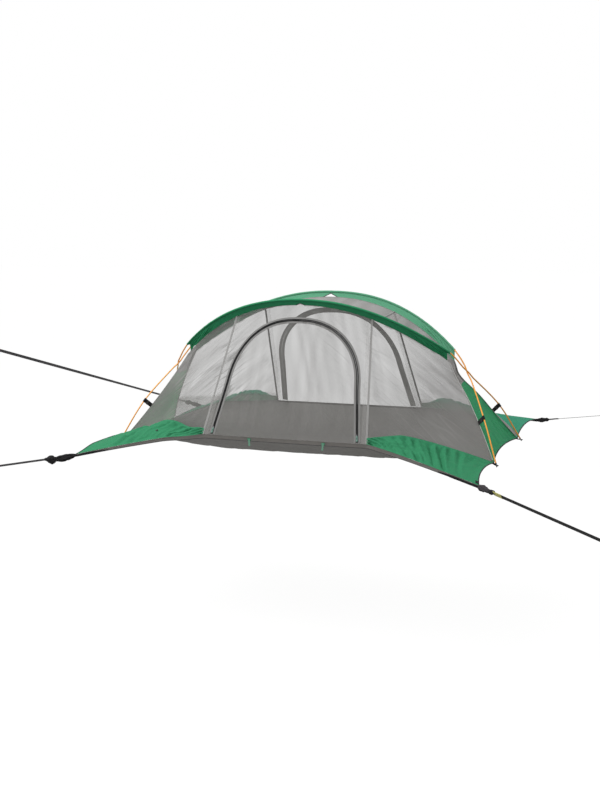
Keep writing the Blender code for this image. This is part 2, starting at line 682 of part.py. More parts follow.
# Tubes, keyholes and turned pieces

def frames_along(points):
    """A direction and two cross directions at each point, without twist."""
    last = len(points) - 1
    made, side = [], None
    for k in range(last + 1):
        t = (points[min(k + 1, last)] - points[max(k - 1, 0)]).normalized()
        if side is None:
            side = t.cross(Vector((0.13, 1, 0.21))).normalized()
        side = (side - t * side.dot(t)).normalized()
        made.append((t, side, t.cross(side)))
    return made


def oval(name, rings, colour, roughness=0.6, metallic=0.0, sides=ROUND_SIDES):
    """A closed round piece from rings, each a centre and its two half axes."""
    points = []
    for centre, a, b in rings:
        for i in range(sides):
            angle = 2 * math.pi * i / sides
            points.append(centre + a * math.cos(angle) + b * math.sin(angle))
    n = len(rings)
    faces = [tuple(range(sides)), tuple((n - 1) * sides + i for i in reversed(range(sides)))]
    for k in range(n - 1):
        for i in range(sides):
            a, b = k * sides + i, k * sides + (i + 1) % sides
            faces.append((a, b, b + sides, a + sides))
    return add_object(name, points, faces, colour, roughness, metallic)


def tube(name, points, radii, colour, roughness=0.6, metallic=0.0):
    """A closed round piece along points, each with its own radius."""
    rings = [(p, a * r, b * r) for p, (_, a, b), r in zip(points, frames_along(points), radii)]
    return oval(name, rings, colour, roughness, metallic)


def keyhole(name, centres, tails, inner, wall, tail_thickness, colour, roughness=0.75):
    """A loop round each centre with a flat tail to each tail point, swept as one open-ended body."""
    outer = inner + wall
    sides = ROUND_SIDES
    opening = math.asin(tail_thickness / 2 / outer)
    points = []
    last = len(centres) - 1
    for k, (centre, tail) in enumerate(zip(centres, tails)):
        t = (centres[min(k + 1, last)] - centres[max(k - 1, 0)]).normalized()
        way = tail - centre
        way = (way - t * way.dot(t)).normalized()
        side = t.cross(way)
        for radius in (outer, inner):
            for i in range(sides):
                angle = lerp(opening, 2 * math.pi - opening, i / (sides - 1))
                points.append(centre + way * math.cos(angle) * radius + side * math.sin(angle) * radius)
        points += [tail - side * tail_thickness / 2, tail + side * tail_thickness / 2]
    ring = 2 * sides + 2
    left, right = 2 * sides, 2 * sides + 1
    faces = []
    pairs = [(i, i + 1) for i in range(sides - 1)] + [(i + 1, i) for i in range(sides, 2 * sides - 1)]
    pairs += [(2 * sides - 1, sides), (sides - 1, left), (left, right), (right, 0)]
    turned = set(pairs[sides - 1:2 * sides - 2]) | {(right, 0)}
    for k in range(last):
        a, b = k * ring, (k + 1) * ring
        for i, j in pairs:
            if (i, j) in turned:
                faces += [(a + i, a + j, b + i), (a + j, b + j, b + i)]
            else:
                faces += [(a + i, a + j, b + j), (a + i, b + j, b + i)]
    for base in (0, last * ring):
        for i in range(sides - 1):
            faces.append((base + i, base + i + 1, base + sides + i + 1, base + sides + i))
        faces.append((base, base + sides, base + 2 * sides - 1, base + sides - 1))
        faces.append((base, base + sides - 1, base + left, base + right))
    return add_object(name, points, faces, colour, roughness)


def make_sleeves():
    """A tube round the pole with a web down to the ridge, cut away in a notch at the apex."""
    ridge_x = [-x for x in reversed(SHOULDER_X[1:])] + MIDDLE_X + SHOULDER_X[1:]
    side = SIDE_TOP_MITRES[1:SHOULDER_STEPS + 1]
    corners = mirrored_mitres(side[::-1], x=-1) + MIDDLE_TOP_MITRES + side
    tops = [ridge(x) + offset for x, (offset, _) in zip(ridge_x, corners)]
    centres, tails = [], []
    for x in SLEEVE_X:
        k = next(i for i in range(len(ridge_x) - 1) if ridge_x[i + 1] >= x - GAP)
        top = tops[k].lerp(tops[k + 1], (x - ridge_x[k]) / (ridge_x[k + 1] - ridge_x[k]))
        centre = pole_arch(x)
        rise = GAP + NOTCH_RISE * max(1 - abs(x) / NOTCH_HALF, 0)
        centres.append(centre)
        tails.append(top + (centre - top).normalized() * rise)
    inner = POLE_RADIUS + SLEEVE_CLEARANCE
    front = keyhole("front_pole_sleeve", centres, tails, inner, FABRIC, FABRIC, DARK_GREEN)
    other_hand(front, "back_pole_sleeve", y=-1)


SLEEVE_X = sorted({
    *[-x for x in SHOULDER_X], *MIDDLE_X, *SHOULDER_X, -NOTCH_HALF, NOTCH_HALF
})


def pole_leg(over):
    """The bare right leg of the front pole from its joint to its tip. Over is 1 for the pole that
    passes outside the other at the crossing and -1 for the inner one."""
    knots = [
        pole_arch(SLEEVE_HALF * 0.86), pole_arch(SLEEVE_HALF), Vector((CROSS_X, 0, CROSS_Z)),
        Vector((CLIP_X, CLIP_Y, CLIP_Z)), Vector((FOOT_X, FOOT_Y, FOOT_Z)),
    ]
    run = knots[3] - knots[1]
    outward = Vector((-run.z, 0, run.x)).normalized()
    shares = [1.0, 1.25, 1.5, 1.7, 1.85, 2.0, 2.15, 2.3, 2.5, 2.7, 2.88, 3.12, 3.35, 3.6, 3.8]
    joint = pole_arch(SLEEVE_HALF - POLE_JOINT_INSET)
    points = [joint]
    for share in shares:
        p = smooth_curve(knots, share)
        near = max(1 - (p - knots[2]).length / CROSS_SPREAD, 0)
        points.append(p + outward * over * (POLE_RADIUS + SEAM) * near * near * (3 - 2 * near))
    way = (knots[4] - points[-1]).normalized()
    points.append(knots[4] - way * (TIP_SHOULDER + TIP_BODY + GAP))
    clip = (points[shares.index(2.88) + 1] + points[shares.index(3.12) + 1]) / 2
    clip_way = (points[shares.index(3.12) + 1] - points[shares.index(2.88) + 1]).normalized()
    return points, clip, clip_way, way


def make_poles():
    """Each pole is an arch inside its sleeve and two bare legs that cross the other pole's."""
    arch_x = [x for x in SLEEVE_X if abs(x) < SLEEVE_HALF - POLE_JOINT_INSET]
    joint = SLEEVE_HALF - POLE_JOINT_INSET
    arch = [pole_arch(x) for x in (-joint, *arch_x, joint)]
    arch[0] = arch[0].lerp(arch[1], GAP / (arch[1] - arch[0]).length)
    arch[-1] = arch[-1].lerp(arch[-2], GAP / (arch[-2] - arch[-1]).length)
    for name, y, over in (("front", 1, 1), ("back", -1, -1)):
        radii = [POLE_RADIUS] * len(arch)
        tube(f"{name}_pole_arch", [flipped(p, y=y) for p in arch], radii, ORANGE, 0.35, 0.9)
        points, clip, clip_way, way = pole_leg(over)
        foot = "back" if name == "front" else "front"
        for side, x in (("right", 1), ("left", -1)):
            leg = [flipped(p, x=x, y=y) for p in points]
            tube(f"{name}_pole_{side}_leg", leg, [POLE_RADIUS] * len(leg), ORANGE, 0.35, 0.9)
            place = flipped(Vector((FOOT_X, FOOT_Y, FOOT_Z)), x, y)
            make_tip(f"{foot}_{side}_pole_tip", place, flipped(way, x, y))
            make_clip(f"{foot}_{side}_clip", flipped(clip, x, y), flipped(clip_way, x, y), x, y)


def make_tip(name, place, way):
    """The plug in the pole's end: a collar, a neck through the foot tab's eyelet and a ball."""
    steps = [
        (-TIP_SHOULDER - TIP_BODY, TIP_COLLAR * 0.9), (-TIP_SHOULDER - TIP_BODY + 0.001, TIP_COLLAR),
        (-TIP_SHOULDER - 0.001, TIP_COLLAR), (-TIP_SHOULDER, TIP_COLLAR * 0.8),
        (-TIP_SHOULDER + 0.0002, TIP_NECK), (TIP_SHOULDER, TIP_NECK),
        (TIP_SHOULDER + TIP_NOSE * 0.35, TIP_BALL), (TIP_SHOULDER + TIP_NOSE * 0.65, TIP_BALL),
        (TIP_SHOULDER + TIP_NOSE, TIP_BALL * 0.4),
    ]
    tube(name, [place + way * s for s, _ in steps], [r for _, r in steps], BLACK, 0.4)


def make_clip(name, centre, way, x, y):
    """A plastic hook round the pole with its webbing tab, sewn to the fold of the wall."""
    outer = [p + m[0] for p, m in zip(SIDE_TOP, SIDE_TOP_MITRES)]
    corner = flipped(along(outer[SHOULDER_STEPS:], CLIP_SHARE / FOLD_SHARE), x, -y)
    tail = corner + (centre - corner).normalized() * GAP
    half = way * CLIP_WIDTH / 2
    keyhole(
        name, [centre - half, centre + half], [tail - half, tail + half],
        POLE_RADIUS + GAP, CLIP_WALL, CLIP_WALL, BLACK, 0.5,
    )


def ring_plate(name, outline, hole, thickness, normal, colour, roughness, metallic=0.0):
    """A flat plate with a hole; outline and hole have as many points."""
    n = len(outline)
    half = normal * thickness / 2
    points = [p + half for p in outline + hole] + [p - half for p in outline + hole]
    faces = []
    for i in range(n):
        j = (i + 1) % n
        faces.append((i, j, n + j, n + i))
        faces.append((2 * n + j, 2 * n + i, 3 * n + i, 3 * n + j))
        faces.append((j, i, 2 * n + i, 2 * n + j))
        faces.append((n + i, n + j, 3 * n + j, 3 * n + i))
    return add_object(name, points, faces, colour, roughness, metallic)


def make_foot_tabs():
    """Webbing tabs under the heels, each with the eyelet that takes a pole tip."""
    foot = Vector((FOOT_X, -FOOT_Y, FOOT_Z))
    way = Vector((foot.x - HEEL.x, foot.y - HEEL.y, -TAB_DROP)).normalized()
    side = UP.cross(way).normalized() * TAB_WIDTH / 2
    normal = way.cross(side).normalized()
    reach = (Vector((foot.x, foot.y, 0)) - Vector((HEEL.x, HEEL.y, 0))).length + TAB_INNER
    near, far = foot - way * reach, foot + way * TAB_OUTER
    outline = [far, far + side, foot + side, near + side, near, near - side, foot - side, far - side]
    hole = []
    for i in range(8):
        angle = 2 * math.pi * i / 8
        hole.append(foot + way * TAB_HOLE * math.cos(angle) + side.normalized() * TAB_HOLE * math.sin(angle))
    tab = ring_plate("front_right_foot_tab", outline, hole, TAB_THICKNESS, normal, BLACK, 0.8)
    other_hand(tab, "front_left_foot_tab", x=-1)
    other_hand(tab, "back_right_foot_tab", y=-1)
    other_hand(tab, "back_left_foot_tab", x=-1, y=-1)


def make_corner(name, heading, rise, length, roll):
    """The gathered webbing at a corner with its knotted loop, the strap and the plate at its end."""
    x, y = (-1 if "left" in name else 1), (1 if "front" in name else -1)
    band = flipped(CORNER - edge_line(CORNER_X - EDGE_BAND_HEIGHT), x, y)
    band = Vector((band.x, band.y, 0)).normalized()
    corner = flipped(CORNER, x, y) - UP * EDGE_BAND_TIP / 2 + band * GAP
    way = Vector((heading[0], heading[1], rise)).normalized()
    knot, end = GATHER_LENGTH, GATHER_LENGTH + KNOT_LENGTH
    wide, high = GATHER_HALF_WIDTH, GATHER_HALF_HEIGHT
    steps = [
        (0, wide * 0.45, high * 0.6), (knot * 0.25, wide * 0.85, high * 0.8), (knot * 0.55, wide, high),
        (knot * 0.85, wide * 0.75, high * 0.75), (knot, wide * 0.6, high * 0.6),
        (knot + KNOT_LENGTH * 0.2, KNOT_HALF_WIDTH * 0.8, KNOT_HALF_HEIGHT * 0.8),
        (knot + KNOT_LENGTH * 0.5, KNOT_HALF_WIDTH, KNOT_HALF_HEIGHT),
        (knot + KNOT_LENGTH * 0.8, KNOT_HALF_WIDTH * 0.7, KNOT_HALF_HEIGHT * 0.6),
        (end, WEBBING_WIDTH * 0.45, WEBBING_WIDTH * 0.3),
    ]
    rings = []
    for k, (s, w, h) in enumerate(steps):
        level = (way if k else band).cross(UP).normalized()
        upright = level.cross(way if k else band)
        rings.append((corner + way * s, level * w, upright * h))
    oval(f"{name}_gather", rings, BLACK, 0.9)
    level = way.cross(UP).normalized()
    upright = level.cross(way)
    tilt = math.radians(roll)
    width = level * math.cos(tilt) + upright * math.sin(tilt)
    normal = way.cross(width).normalized()
    make_strap(f"{name}_strap", corner + way * (end + GAP), way, width, normal, length)
    make_plate(f"{name}_strap_plate", corner + way * (end + GAP + length + GAP), way, width, normal)


def make_strap(name, start, way, width, normal, length):
    w, h = width * WEBBING_WIDTH / 2, normal * WEBBING_THICKNESS / 2
    section = [w + h, -w + h, -w - h, w - h]
    points = []
    for k in range(STRAP_STEPS + 1):
        points += [start + way * length * k / STRAP_STEPS + q for q in section]
    faces = [(0, 1, 2, 3), tuple(4 * STRAP_STEPS + i for i in (3, 2, 1, 0))]
    for k in range(STRAP_STEPS):
        for i in range(4):
            a, b = 4 * k + i, 4 * k + (i + 1) % 4
            faces.append((a, b, b + 4, a + 4))
    add_object(name, points, faces, BLACK, 0.9)


def rounded_box(length, width, radius, steps=3):
    """Points round a rectangle with round corners, centred on the origin."""
    made = []
    for sx, sy, first in ((1, 1, 0), (-1, 1, 90), (-1, -1, 180), (1, -1, 270)):
        for i in range(steps + 1):
            angle = math.radians(first + 90 * i / steps)
            made.append((sx * (length / 2 - radius) + radius * math.cos(angle),
                         sy * (width / 2 - radius) + radius * math.sin(angle)))
    return made


def make_plate(name, start, way, width, normal):
    """The slotted steel plate that the strap's far end hooks on with."""
    centre = start + way * PLATE_LENGTH / 2
    outer = [centre + way * a + width * b for a, b in rounded_box(PLATE_LENGTH, PLATE_WIDTH, PLATE_CORNER)]
    slot = [centre + way * a + width * b for a, b in rounded_box(SLOT_LENGTH, SLOT_WIDTH, SLOT_CORNER)]
    ring_plate(name, outer, slot, PLATE_THICKNESS, normal, STEEL, 0.35, 1.0)


def ease(t):
    t = min(max(t, 0), 1)
    return t * t * (3 - 2 * t)


def settled(p):
    """Where a point of the symmetrical tent comes to lie under the uneven pull of the straps."""
    side = FOOT_Y + TAB_OUTER
    if p.x < -SEAM_FOOT_X and p.y < -side:
        inwards = p.y - edge_line(p.x).y
        lift = FRONT_LEFT_LIFT + FRONT_LEFT_BILLOW * ease(inwards / BILLOW_FROM_EDGE)
        lift *= ease((-p.x - LIFT_START_X) / LIFT_RUN_X) * ease((-p.y - side) / LIFT_RUN_Y)
        return p + UP * lift * ease(1 - (p.z - LIFT_FADE_Z) / LIFT_RUN_Z)
    if p.x > SEAM_FOOT_X and p.y > side:
        reach = min((p.x - SEAM_FOOT_X) / (CORNER_X - SEAM_FOOT_X), 1)
        return p + UP * BACK_RIGHT_LIFT * reach * ease((p.y - side) / BACK_RIGHT_RUN_Y)
    return p


def main():
    for old in list(bpy.data.objects):
        bpy.data.objects.remove(old)
    make_floor()
    make_side_walls()
    make_middle_wall()
    make_door()
    make_zip_tapes()
    make_sliders()
    make_roof()
    make_ends()
    make_wings()
    make_edge_bands()
    make_toggles()
    make_sleeves()
    make_poles()
    make_foot_tabs()
    for name, (heading, rise, length, roll) in STRAPS.items():
        make_corner(name, heading, rise, length, roll)
    for made in bpy.data.objects:
        for vertex in made.data.vertices:
            vertex.co = settled(vertex.co)


main()
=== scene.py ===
import math
import random

import bmesh
import bpy
import numpy as np
from mathutils import Matrix, Vector


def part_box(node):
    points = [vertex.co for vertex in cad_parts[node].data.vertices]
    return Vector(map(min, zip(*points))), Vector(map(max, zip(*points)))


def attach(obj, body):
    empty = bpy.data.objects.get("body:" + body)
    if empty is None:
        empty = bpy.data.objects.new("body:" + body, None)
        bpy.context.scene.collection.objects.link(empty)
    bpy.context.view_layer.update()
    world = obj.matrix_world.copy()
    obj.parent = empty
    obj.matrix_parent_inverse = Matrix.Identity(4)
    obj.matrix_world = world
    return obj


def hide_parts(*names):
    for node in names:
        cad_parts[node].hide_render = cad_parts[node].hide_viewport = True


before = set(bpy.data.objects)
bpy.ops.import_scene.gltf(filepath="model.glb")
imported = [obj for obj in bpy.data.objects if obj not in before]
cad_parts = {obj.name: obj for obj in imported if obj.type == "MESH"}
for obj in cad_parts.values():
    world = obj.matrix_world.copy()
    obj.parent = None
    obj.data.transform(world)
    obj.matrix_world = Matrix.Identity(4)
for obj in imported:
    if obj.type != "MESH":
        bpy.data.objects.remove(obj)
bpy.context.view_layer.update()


def placed(name, data):
    made = bpy.data.objects.new(name, data)
    bpy.context.scene.collection.objects.link(made)
    return made


# camera, at the photograph's viewing angle
photoView = {
    "azimuth": 21.1, "elevation": 10.1, "roll": -1.0, "distance": 7.668,
    "target": (-0.119, 0.0, 0.2545), "lens": 54.0, "sensor": 36.0,
}


def makeCamera(s):
    azimuth, elevation, roll = (math.radians(s[k]) for k in ("azimuth", "elevation", "roll"))
    back = Vector((math.sin(azimuth) * math.cos(elevation), -math.cos(azimuth) * math.cos(elevation),
                   math.sin(elevation)))
    level = Vector((math.cos(azimuth), math.sin(azimuth), 0))
    upright = back.cross(level)
    right = level * math.cos(roll) + upright * math.sin(roll)
    up = upright * math.cos(roll) - level * math.sin(roll)
    made = placed("photoCamera", bpy.data.cameras.new("photoCamera"))
    made.data.lens, made.data.sensor_width = s["lens"], s["sensor"]
    made.matrix_world = (Matrix.Translation(Vector(s["target"]) + back * s["distance"])
                         @ Matrix((right, up, back)).transposed().to_4x4())
    bpy.context.scene.camera = made


makeCamera(photoView)


# node trees: one class adds the nodes, one wraps a socket so that sums read as sums

class Graph:
    def __init__(self, tree):
        self.tree = tree

    def feed(self, socket, value):
        if isinstance(value, Wire):
            self.tree.links.new(value.socket, socket)
        else:
            socket.default_value = value

    def node(self, kind, settings=None, values=None, output=0):
        made = self.tree.nodes.new(kind)
        for key, value in (settings or {}).items():
            if key == "stops":
                ramp = made.color_ramp
                while len(ramp.elements) < len(value):
                    ramp.elements.new(1.0)
                for element, (place, shade) in zip(ramp.elements, value):
                    element.position, element.color = place, shade
            else:
                setattr(made, key, value)
        for key, value in (values or {}).items():
            self.feed(made.inputs[key], value)
        return Wire(self, made.outputs[output] if made.outputs else None)


class Wire:
    def __init__(self, graph, socket):
        self.graph, self.socket = graph, socket

    def out(self, name):
        return Wire(self.graph, self.socket.node.outputs[name])

    def sum(self, operation, *values):
        return self.graph.node("ShaderNodeMath", {"operation": operation}, dict(enumerate(values)))

    def __add__(self, other):
        return self.sum("ADD", self, other)

    def __radd__(self, other):
        return self.sum("ADD", other, self)

    def __sub__(self, other):
        return self.sum("SUBTRACT", self, other)

    def __rsub__(self, other):
        return self.sum("SUBTRACT", other, self)

    def __mul__(self, other):
        return self.sum("MULTIPLY", self, other)

    def __rmul__(self, other):
        return self.sum("MULTIPLY", other, self)

    def __truediv__(self, other):
        return self.sum("DIVIDE", self, other)

    def __pow__(self, other):
        return self.sum("POWER", self, other)

    def wave(self, pitch):
        return self.sum("SINE", self * (2 * math.pi / pitch))

    def atMost(self, limit):
        return self.sum("MINIMUM", self, limit)

    def atLeast(self, limit):
        return self.sum("MAXIMUM", self, limit)


def newFinish(name, colour, roughness, metallic=0.0, sheen=0.0, gloss=0.5):
    made = bpy.data.materials.new(name)
    made.use_nodes = True
    shader = made.node_tree.nodes["Principled BSDF"]
    for label, value in (("Base Color", (*colour, 1.0)), ("Roughness", roughness), ("Metallic", metallic),
                         ("Sheen Weight", sheen), ("Specular IOR Level", gloss)):
        shader.inputs[label].default_value = value
    return made, Graph(made.node_tree), shader


def cutPlace(graph):
    uv = graph.node("ShaderNodeUVMap", {"uv_map": "cut"})
    split = graph.node("ShaderNodeSeparateXYZ", None, {0: uv})
    return split.out("X"), split.out("Y")


def markOf(graph, name):
    return graph.node("ShaderNodeAttribute", {"attribute_name": name}).out("Fac")


def noiseAt(graph, scale, detail=3.0, stretch=(1, 1, 1)):
    place = graph.node("ShaderNodeTexCoord").out("Object")
    place = graph.node("ShaderNodeMapping", None, {"Vector": place, "Scale": stretch})
    return graph.node("ShaderNodeTexNoise", None, {"Vector": place, "Scale": scale, "Detail": detail})


def tinted(graph, shader, colour, tone):
    shade = graph.node("ShaderNodeVectorMath", {"operation": "SCALE"}, {0: colour, "Scale": tone})
    graph.feed(shader.inputs["Base Color"], shade)


def bumped(graph, shader, height, depth, strength=1.0):
    made = graph.node("ShaderNodeBump", None, {"Strength": strength, "Distance": depth, "Height": height})
    graph.feed(shader.inputs["Normal"], made)


# woven cloth: threads, ripstop ribs, soft patches and crumple; through is the light it lets pass
taffeta = {"roughness": 0.66, "thread": 0.0011, "rib": 0.0062, "ribTone": 0.04, "patch": 0.10,
           "crumple": 0.0016, "through": 0.50}
sleeveKind = {**taffeta, "roughness": 0.62, "patch": 0.12, "crumple": 0.0012, "through": 0.30}
binding = {"roughness": 0.80, "thread": 0.0016, "rib": 0.0048, "ribTone": 0.08, "patch": 0.15,
           "crumple": 0.0006, "through": 0.20}
clothKinds = {
    "greenTaffeta": {**taffeta, "colour": (0.062, 0.380, 0.190), "through": 0.42},
    # endTaffetaPaintedLight: the same green taffeta made paler as painted light, for the end panels that
    # turn away from the lamp
    "endTaffetaPaintedLight": {**taffeta, "colour": (0.115, 0.580, 0.305)},
    # backTaffetaPaintedLight: the wing green made paler as painted light, for the back wings that lie in
    # shade under the netting
    "backTaffetaPaintedLight": {**taffeta, "colour": (0.096, 0.490, 0.325)},
    # backSleevePaintedLight: the sleeve green made paler as painted light, a lit copy of sleeveTaffeta
    "backSleevePaintedLight": {**sleeveKind, "colour": (0.150, 0.485, 0.290)},
    "sleeveTaffeta": {**sleeveKind, "colour": (0.036, 0.335, 0.148), "through": 0.25},
    "floorNylon": {"colour": (0.330, 0.321, 0.308), "roughness": 0.62, "thread": 0.0012, "rib": 0.0080,
                   "ribTone": 0.03, "patch": 0.14, "crumple": 0.0022, "through": 0.12},
    "bandNylon": {"colour": (0.185, 0.176, 0.165), "roughness": 0.75, "thread": 0.0014, "rib": 0.0070,
                  "ribTone": 0.04, "patch": 0.20, "crumple": 0.0012, "through": 0.0},
    "greyBinding": {**binding, "colour": (0.360, 0.356, 0.350), "through": 0.35},
    # bindingPaintedLight: the grey binding made paler as painted light, for binding that lies in shade
    # behind the netting
    "bindingPaintedLight": {**binding, "colour": (0.580, 0.574, 0.566)},
    "seamBinding": {**binding, "colour": (0.400, 0.395, 0.388), "ribTone": 0.04},
    "darkPiping": {**binding, "colour": (0.050, 0.050, 0.053), "roughness": 0.75, "rib": 0.0040,
                   "ribTone": 0.12, "patch": 0.20, "crumple": 0.0004, "through": 0.0},
    "paleGreenTape": {**binding, "colour": (0.190, 0.430, 0.300), "roughness": 0.75, "thread": 0.0012,
                      "rib": 0.0030, "ribTone": 0.10, "crumple": 0.0004, "through": 0.15},
    "blackZipTape": {**binding, "colour": (0.007, 0.007, 0.008), "thread": 0.0010, "rib": 0.0022,
                     "ribTone": 0.15, "crumple": 0.0003, "through": 0.0},
}
weave = {"ribCut": 0.86, "ribGain": 3.5, "patchScale": 6.0, "wearScale": 38.0, "wearShare": 0.5,
         "wearRough": 0.18, "crumpleScale": 14.0, "crumpleStretch": (1.0, 1.0, 2.2),
         "threadHeight": 0.00012, "ribHeight": 0.00025}


def clothFinish(name, s):
    made, graph, shader = newFinish(name, s["colour"], s["roughness"], gloss=0.2)
    w = weave
    across, down = cutPlace(graph)
    threads = across.wave(s["thread"]) * down.wave(s["thread"])
    ribs = across.wave(s["rib"]).atLeast(w["ribCut"]) + down.wave(s["rib"]).atLeast(w["ribCut"])
    ribs = (ribs - 2 * w["ribCut"]) * w["ribGain"]
    patches = noiseAt(graph, w["patchScale"], 4.0) - 0.5
    wear = noiseAt(graph, w["wearScale"]) - 0.5
    tone = 1 + patches * s["patch"] + wear * (s["patch"] * w["wearShare"]) + ribs * s["ribTone"]
    tinted(graph, shader, s["colour"], tone)
    graph.feed(shader.inputs["Roughness"], s["roughness"] + wear * w["wearRough"])
    crumple = noiseAt(graph, w["crumpleScale"], 5.0, w["crumpleStretch"])
    relief = threads * w["threadHeight"] + ribs * w["ribHeight"]
    bumped(graph, shader, crumple + relief / s["crumple"], s["crumple"])
    if s["through"]:
        lit = graph.node("ShaderNodeBsdfTranslucent", None, {"Color": (*s["colour"], 1.0)})
        both = graph.node("ShaderNodeMixShader", None,
                          {0: s["through"], 1: Wire(graph, shader.outputs[0]), 2: lit})
        graph.feed(made.node_tree.nodes["Material Output"].inputs["Surface"], both)
    return made


# knitted netting: see-through, denser where it puckers; the cover raised on creases and pull lines is partly
# that real density and partly painted crease shade, and the cover lowered beside them is a painted
# highlight; each pull line is a (middle, narrowness) band
netKinds = {
    "canopyNet": {"colour": (0.240, 0.234, 0.228), "cover": 0.325, "pucker": 0.50, "mesh": 0.0028,
                  "slope": 0.80, "coarse": 24.0, "fine": 80.0, "run": 2.0, "dark": 0.46, "light": 0.16,
                  "creaseShadeBands": ((0.50, 16.0), (0.52, 11.0)), "creaseHighlightBands": ((0.43, 14.0), (0.44, 10.0)),
                  "fineCreaseShade": 0.8, "patchScale": 3.4, "patchFrom": 0.44, "patchSharp": 7.0,
                  "patchShare": 0.75, "pullHeight": 12.0},
    "seamNet": {"colour": (0.800, 0.790, 0.780), "cover": 0.20, "pucker": 0.0, "mesh": 0.0028},
}
knit = {"cloudScale": 2.2, "cloud": 0.05, "cloudTone": 0.15, "grainScale": 120.0, "grain": 0.05,
        "holes": 0.04, "holeHeight": 0.3, "leastCover": 0.06, "mostCover": 0.95}


def pullLines(graph, s, pitch, seed):
    split = graph.node("ShaderNodeSeparateXYZ", None, {0: graph.node("ShaderNodeTexCoord").out("Object")})
    x, y, z = (split.out(k) for k in "XYZ")
    outward = x.sum("ABSOLUTE", x)
    place = graph.node("ShaderNodeCombineXYZ", None, {
        "X": (z + outward * s["slope"]) * pitch, "Y": (outward - z * s["slope"]) * s["run"],
        "Z": x.sum("SIGN", x) * 7.3 + y.sum("SIGN", y) * 13.1 + seed})
    return graph.node("ShaderNodeTexNoise", None, {"Vector": place, "Scale": 1.0, "Detail": 1.0})


def bandAt(value, middle, narrow):
    away = value - middle
    return (1 - away.sum("ABSOLUTE", away) * narrow).atLeast(0.0)


def netFinish(name, s):
    made, graph, shader = newFinish(name, s["colour"], 0.85)
    across, down = cutPlace(graph)
    holes = across.wave(s["mesh"]) * down.wave(s["mesh"])
    cloud = noiseAt(graph, knit["cloudScale"], 2.0) - 0.5
    grain = noiseAt(graph, knit["grainScale"], 2.0) - 0.5
    cover = (s["cover"] + markOf(graph, "pucker") * s["pucker"] + cloud * knit["cloud"]
             + grain * knit["grain"] + holes * knit["holes"])
    height = holes * knit["holeHeight"]
    if "slope" in s:
        patchy = (noiseAt(graph, s["patchScale"], 1.0) - s["patchFrom"]) * s["patchSharp"]
        share = patchy.atLeast(0.0).atMost(1.0) * s["patchShare"] + (1 - s["patchShare"])
        pull = markOf(graph, "pull") * share
        coarse, fine = pullLines(graph, s, s["coarse"], 0.0), pullLines(graph, s, s["fine"], 4.0)
        # dark raises the cover along pull lines, partly real doubled net and partly painted crease shade;
        # light lowers it beside them as a painted highlight
        (darkCoarse, darkFine), (lightCoarse, lightFine) = s["creaseShadeBands"], s["creaseHighlightBands"]
        dark = bandAt(coarse, *darkCoarse) + bandAt(fine, *darkFine) * pull * s["fineCreaseShade"]
        light = bandAt(coarse, *lightCoarse) + bandAt(fine, *lightFine) * pull
        cover = cover + (dark * s["dark"] - light * s["light"]) * pull
        height = height + coarse * pull * s["pullHeight"]
    graph.feed(shader.inputs["Alpha"], cover.atMost(knit["mostCover"]).atLeast(knit["leastCover"]))
    # the pale mark scales the net's colour: painted light where it is raised, painted shade where it is
    # lowered
    tinted(graph, shader, s["colour"], 1 + cloud * knit["cloudTone"] + markOf(graph, "pale"))
    bumped(graph, shader, height, 0.0003, 0.6)
    return made


def webbingFinish(name, colour, rib=0.0016):
    made, graph, shader = newFinish(name, colour, 0.80, sheen=0.04, gloss=0.15)
    across, down = cutPlace(graph)
    twill = (across + down * 0.8).wave(rib)
    picks = down.wave(rib * 1.6)
    fuzz = noiseAt(graph, 160.0) - 0.5
    tinted(graph, shader, colour, 1 + twill * 0.22 + fuzz * 0.5)
    bumped(graph, shader, twill * 0.6 + picks * 0.4 + fuzz * 0.4, 0.0005, 0.9)
    return made


def metalFinish(name, colour, roughness, metallic=1.0):
    made, graph, shader = newFinish(name, colour, roughness, metallic)
    brushed = noiseAt(graph, 260.0) - 0.5
    rubbed = noiseAt(graph, 21.0, 4.0) - 0.5
    tinted(graph, shader, colour, 1 + rubbed * 0.16 + brushed * 0.05)
    graph.feed(shader.inputs["Roughness"], roughness + rubbed * 0.20 + brushed * 0.06)
    bumped(graph, shader, brushed, 0.0001, 0.35)
    return made


def plasticFinish(name, colour, roughness):
    made, graph, shader = newFinish(name, colour, roughness)
    grain = noiseAt(graph, 420.0, 2.0) - 0.5
    rubbed = noiseAt(graph, 30.0) - 0.5
    tinted(graph, shader, colour, 1 + rubbed * 0.35)
    graph.feed(shader.inputs["Roughness"], roughness + rubbed * 0.2)
    bumped(graph, shader, grain, 0.00015, 0.5)
    return made


plainKinds = {
    "blackWebbing": (webbingFinish, (0.020, 0.019, 0.021)),
    # wornWebbing: the black webbing made grey as a painted sheen
    "wornWebbing": (webbingFinish, (0.062, 0.056, 0.062)),
    "strapWebbing": (webbingFinish, (0.034, 0.033, 0.035)),
    "paleTab": (webbingFinish, (0.62, 0.60, 0.22), 0.0012),
    "orangeAnodised": (metalFinish, (0.93, 0.39, 0.052), 0.36, 0.22),
    "steel": (metalFinish, (0.52, 0.52, 0.54), 0.32),
    "blackPlastic": (plasticFinish, (0.016, 0.016, 0.017), 0.42),
    "zipCoil": (plasticFinish, (0.006, 0.006, 0.007), 0.60),
    "mutedGreen": (plasticFinish, (0.150, 0.270, 0.225), 0.60),
    "greenThread": (plasticFinish, (0.030, 0.180, 0.080), 0.70),
    "greyThread": (plasticFinish, (0.100, 0.098, 0.095), 0.70),
}
finishes = {name: clothFinish(name, s) for name, s in clothKinds.items()}
finishes.update({name: netFinish(name, s) for name, s in netKinds.items()})
finishes.update({name: makeFinish(name, *own) for name, (makeFinish, *own) in plainKinds.items()})
print("finishes:", len(finishes))


# the tent's lines, as in the frame: front right quarter, metres

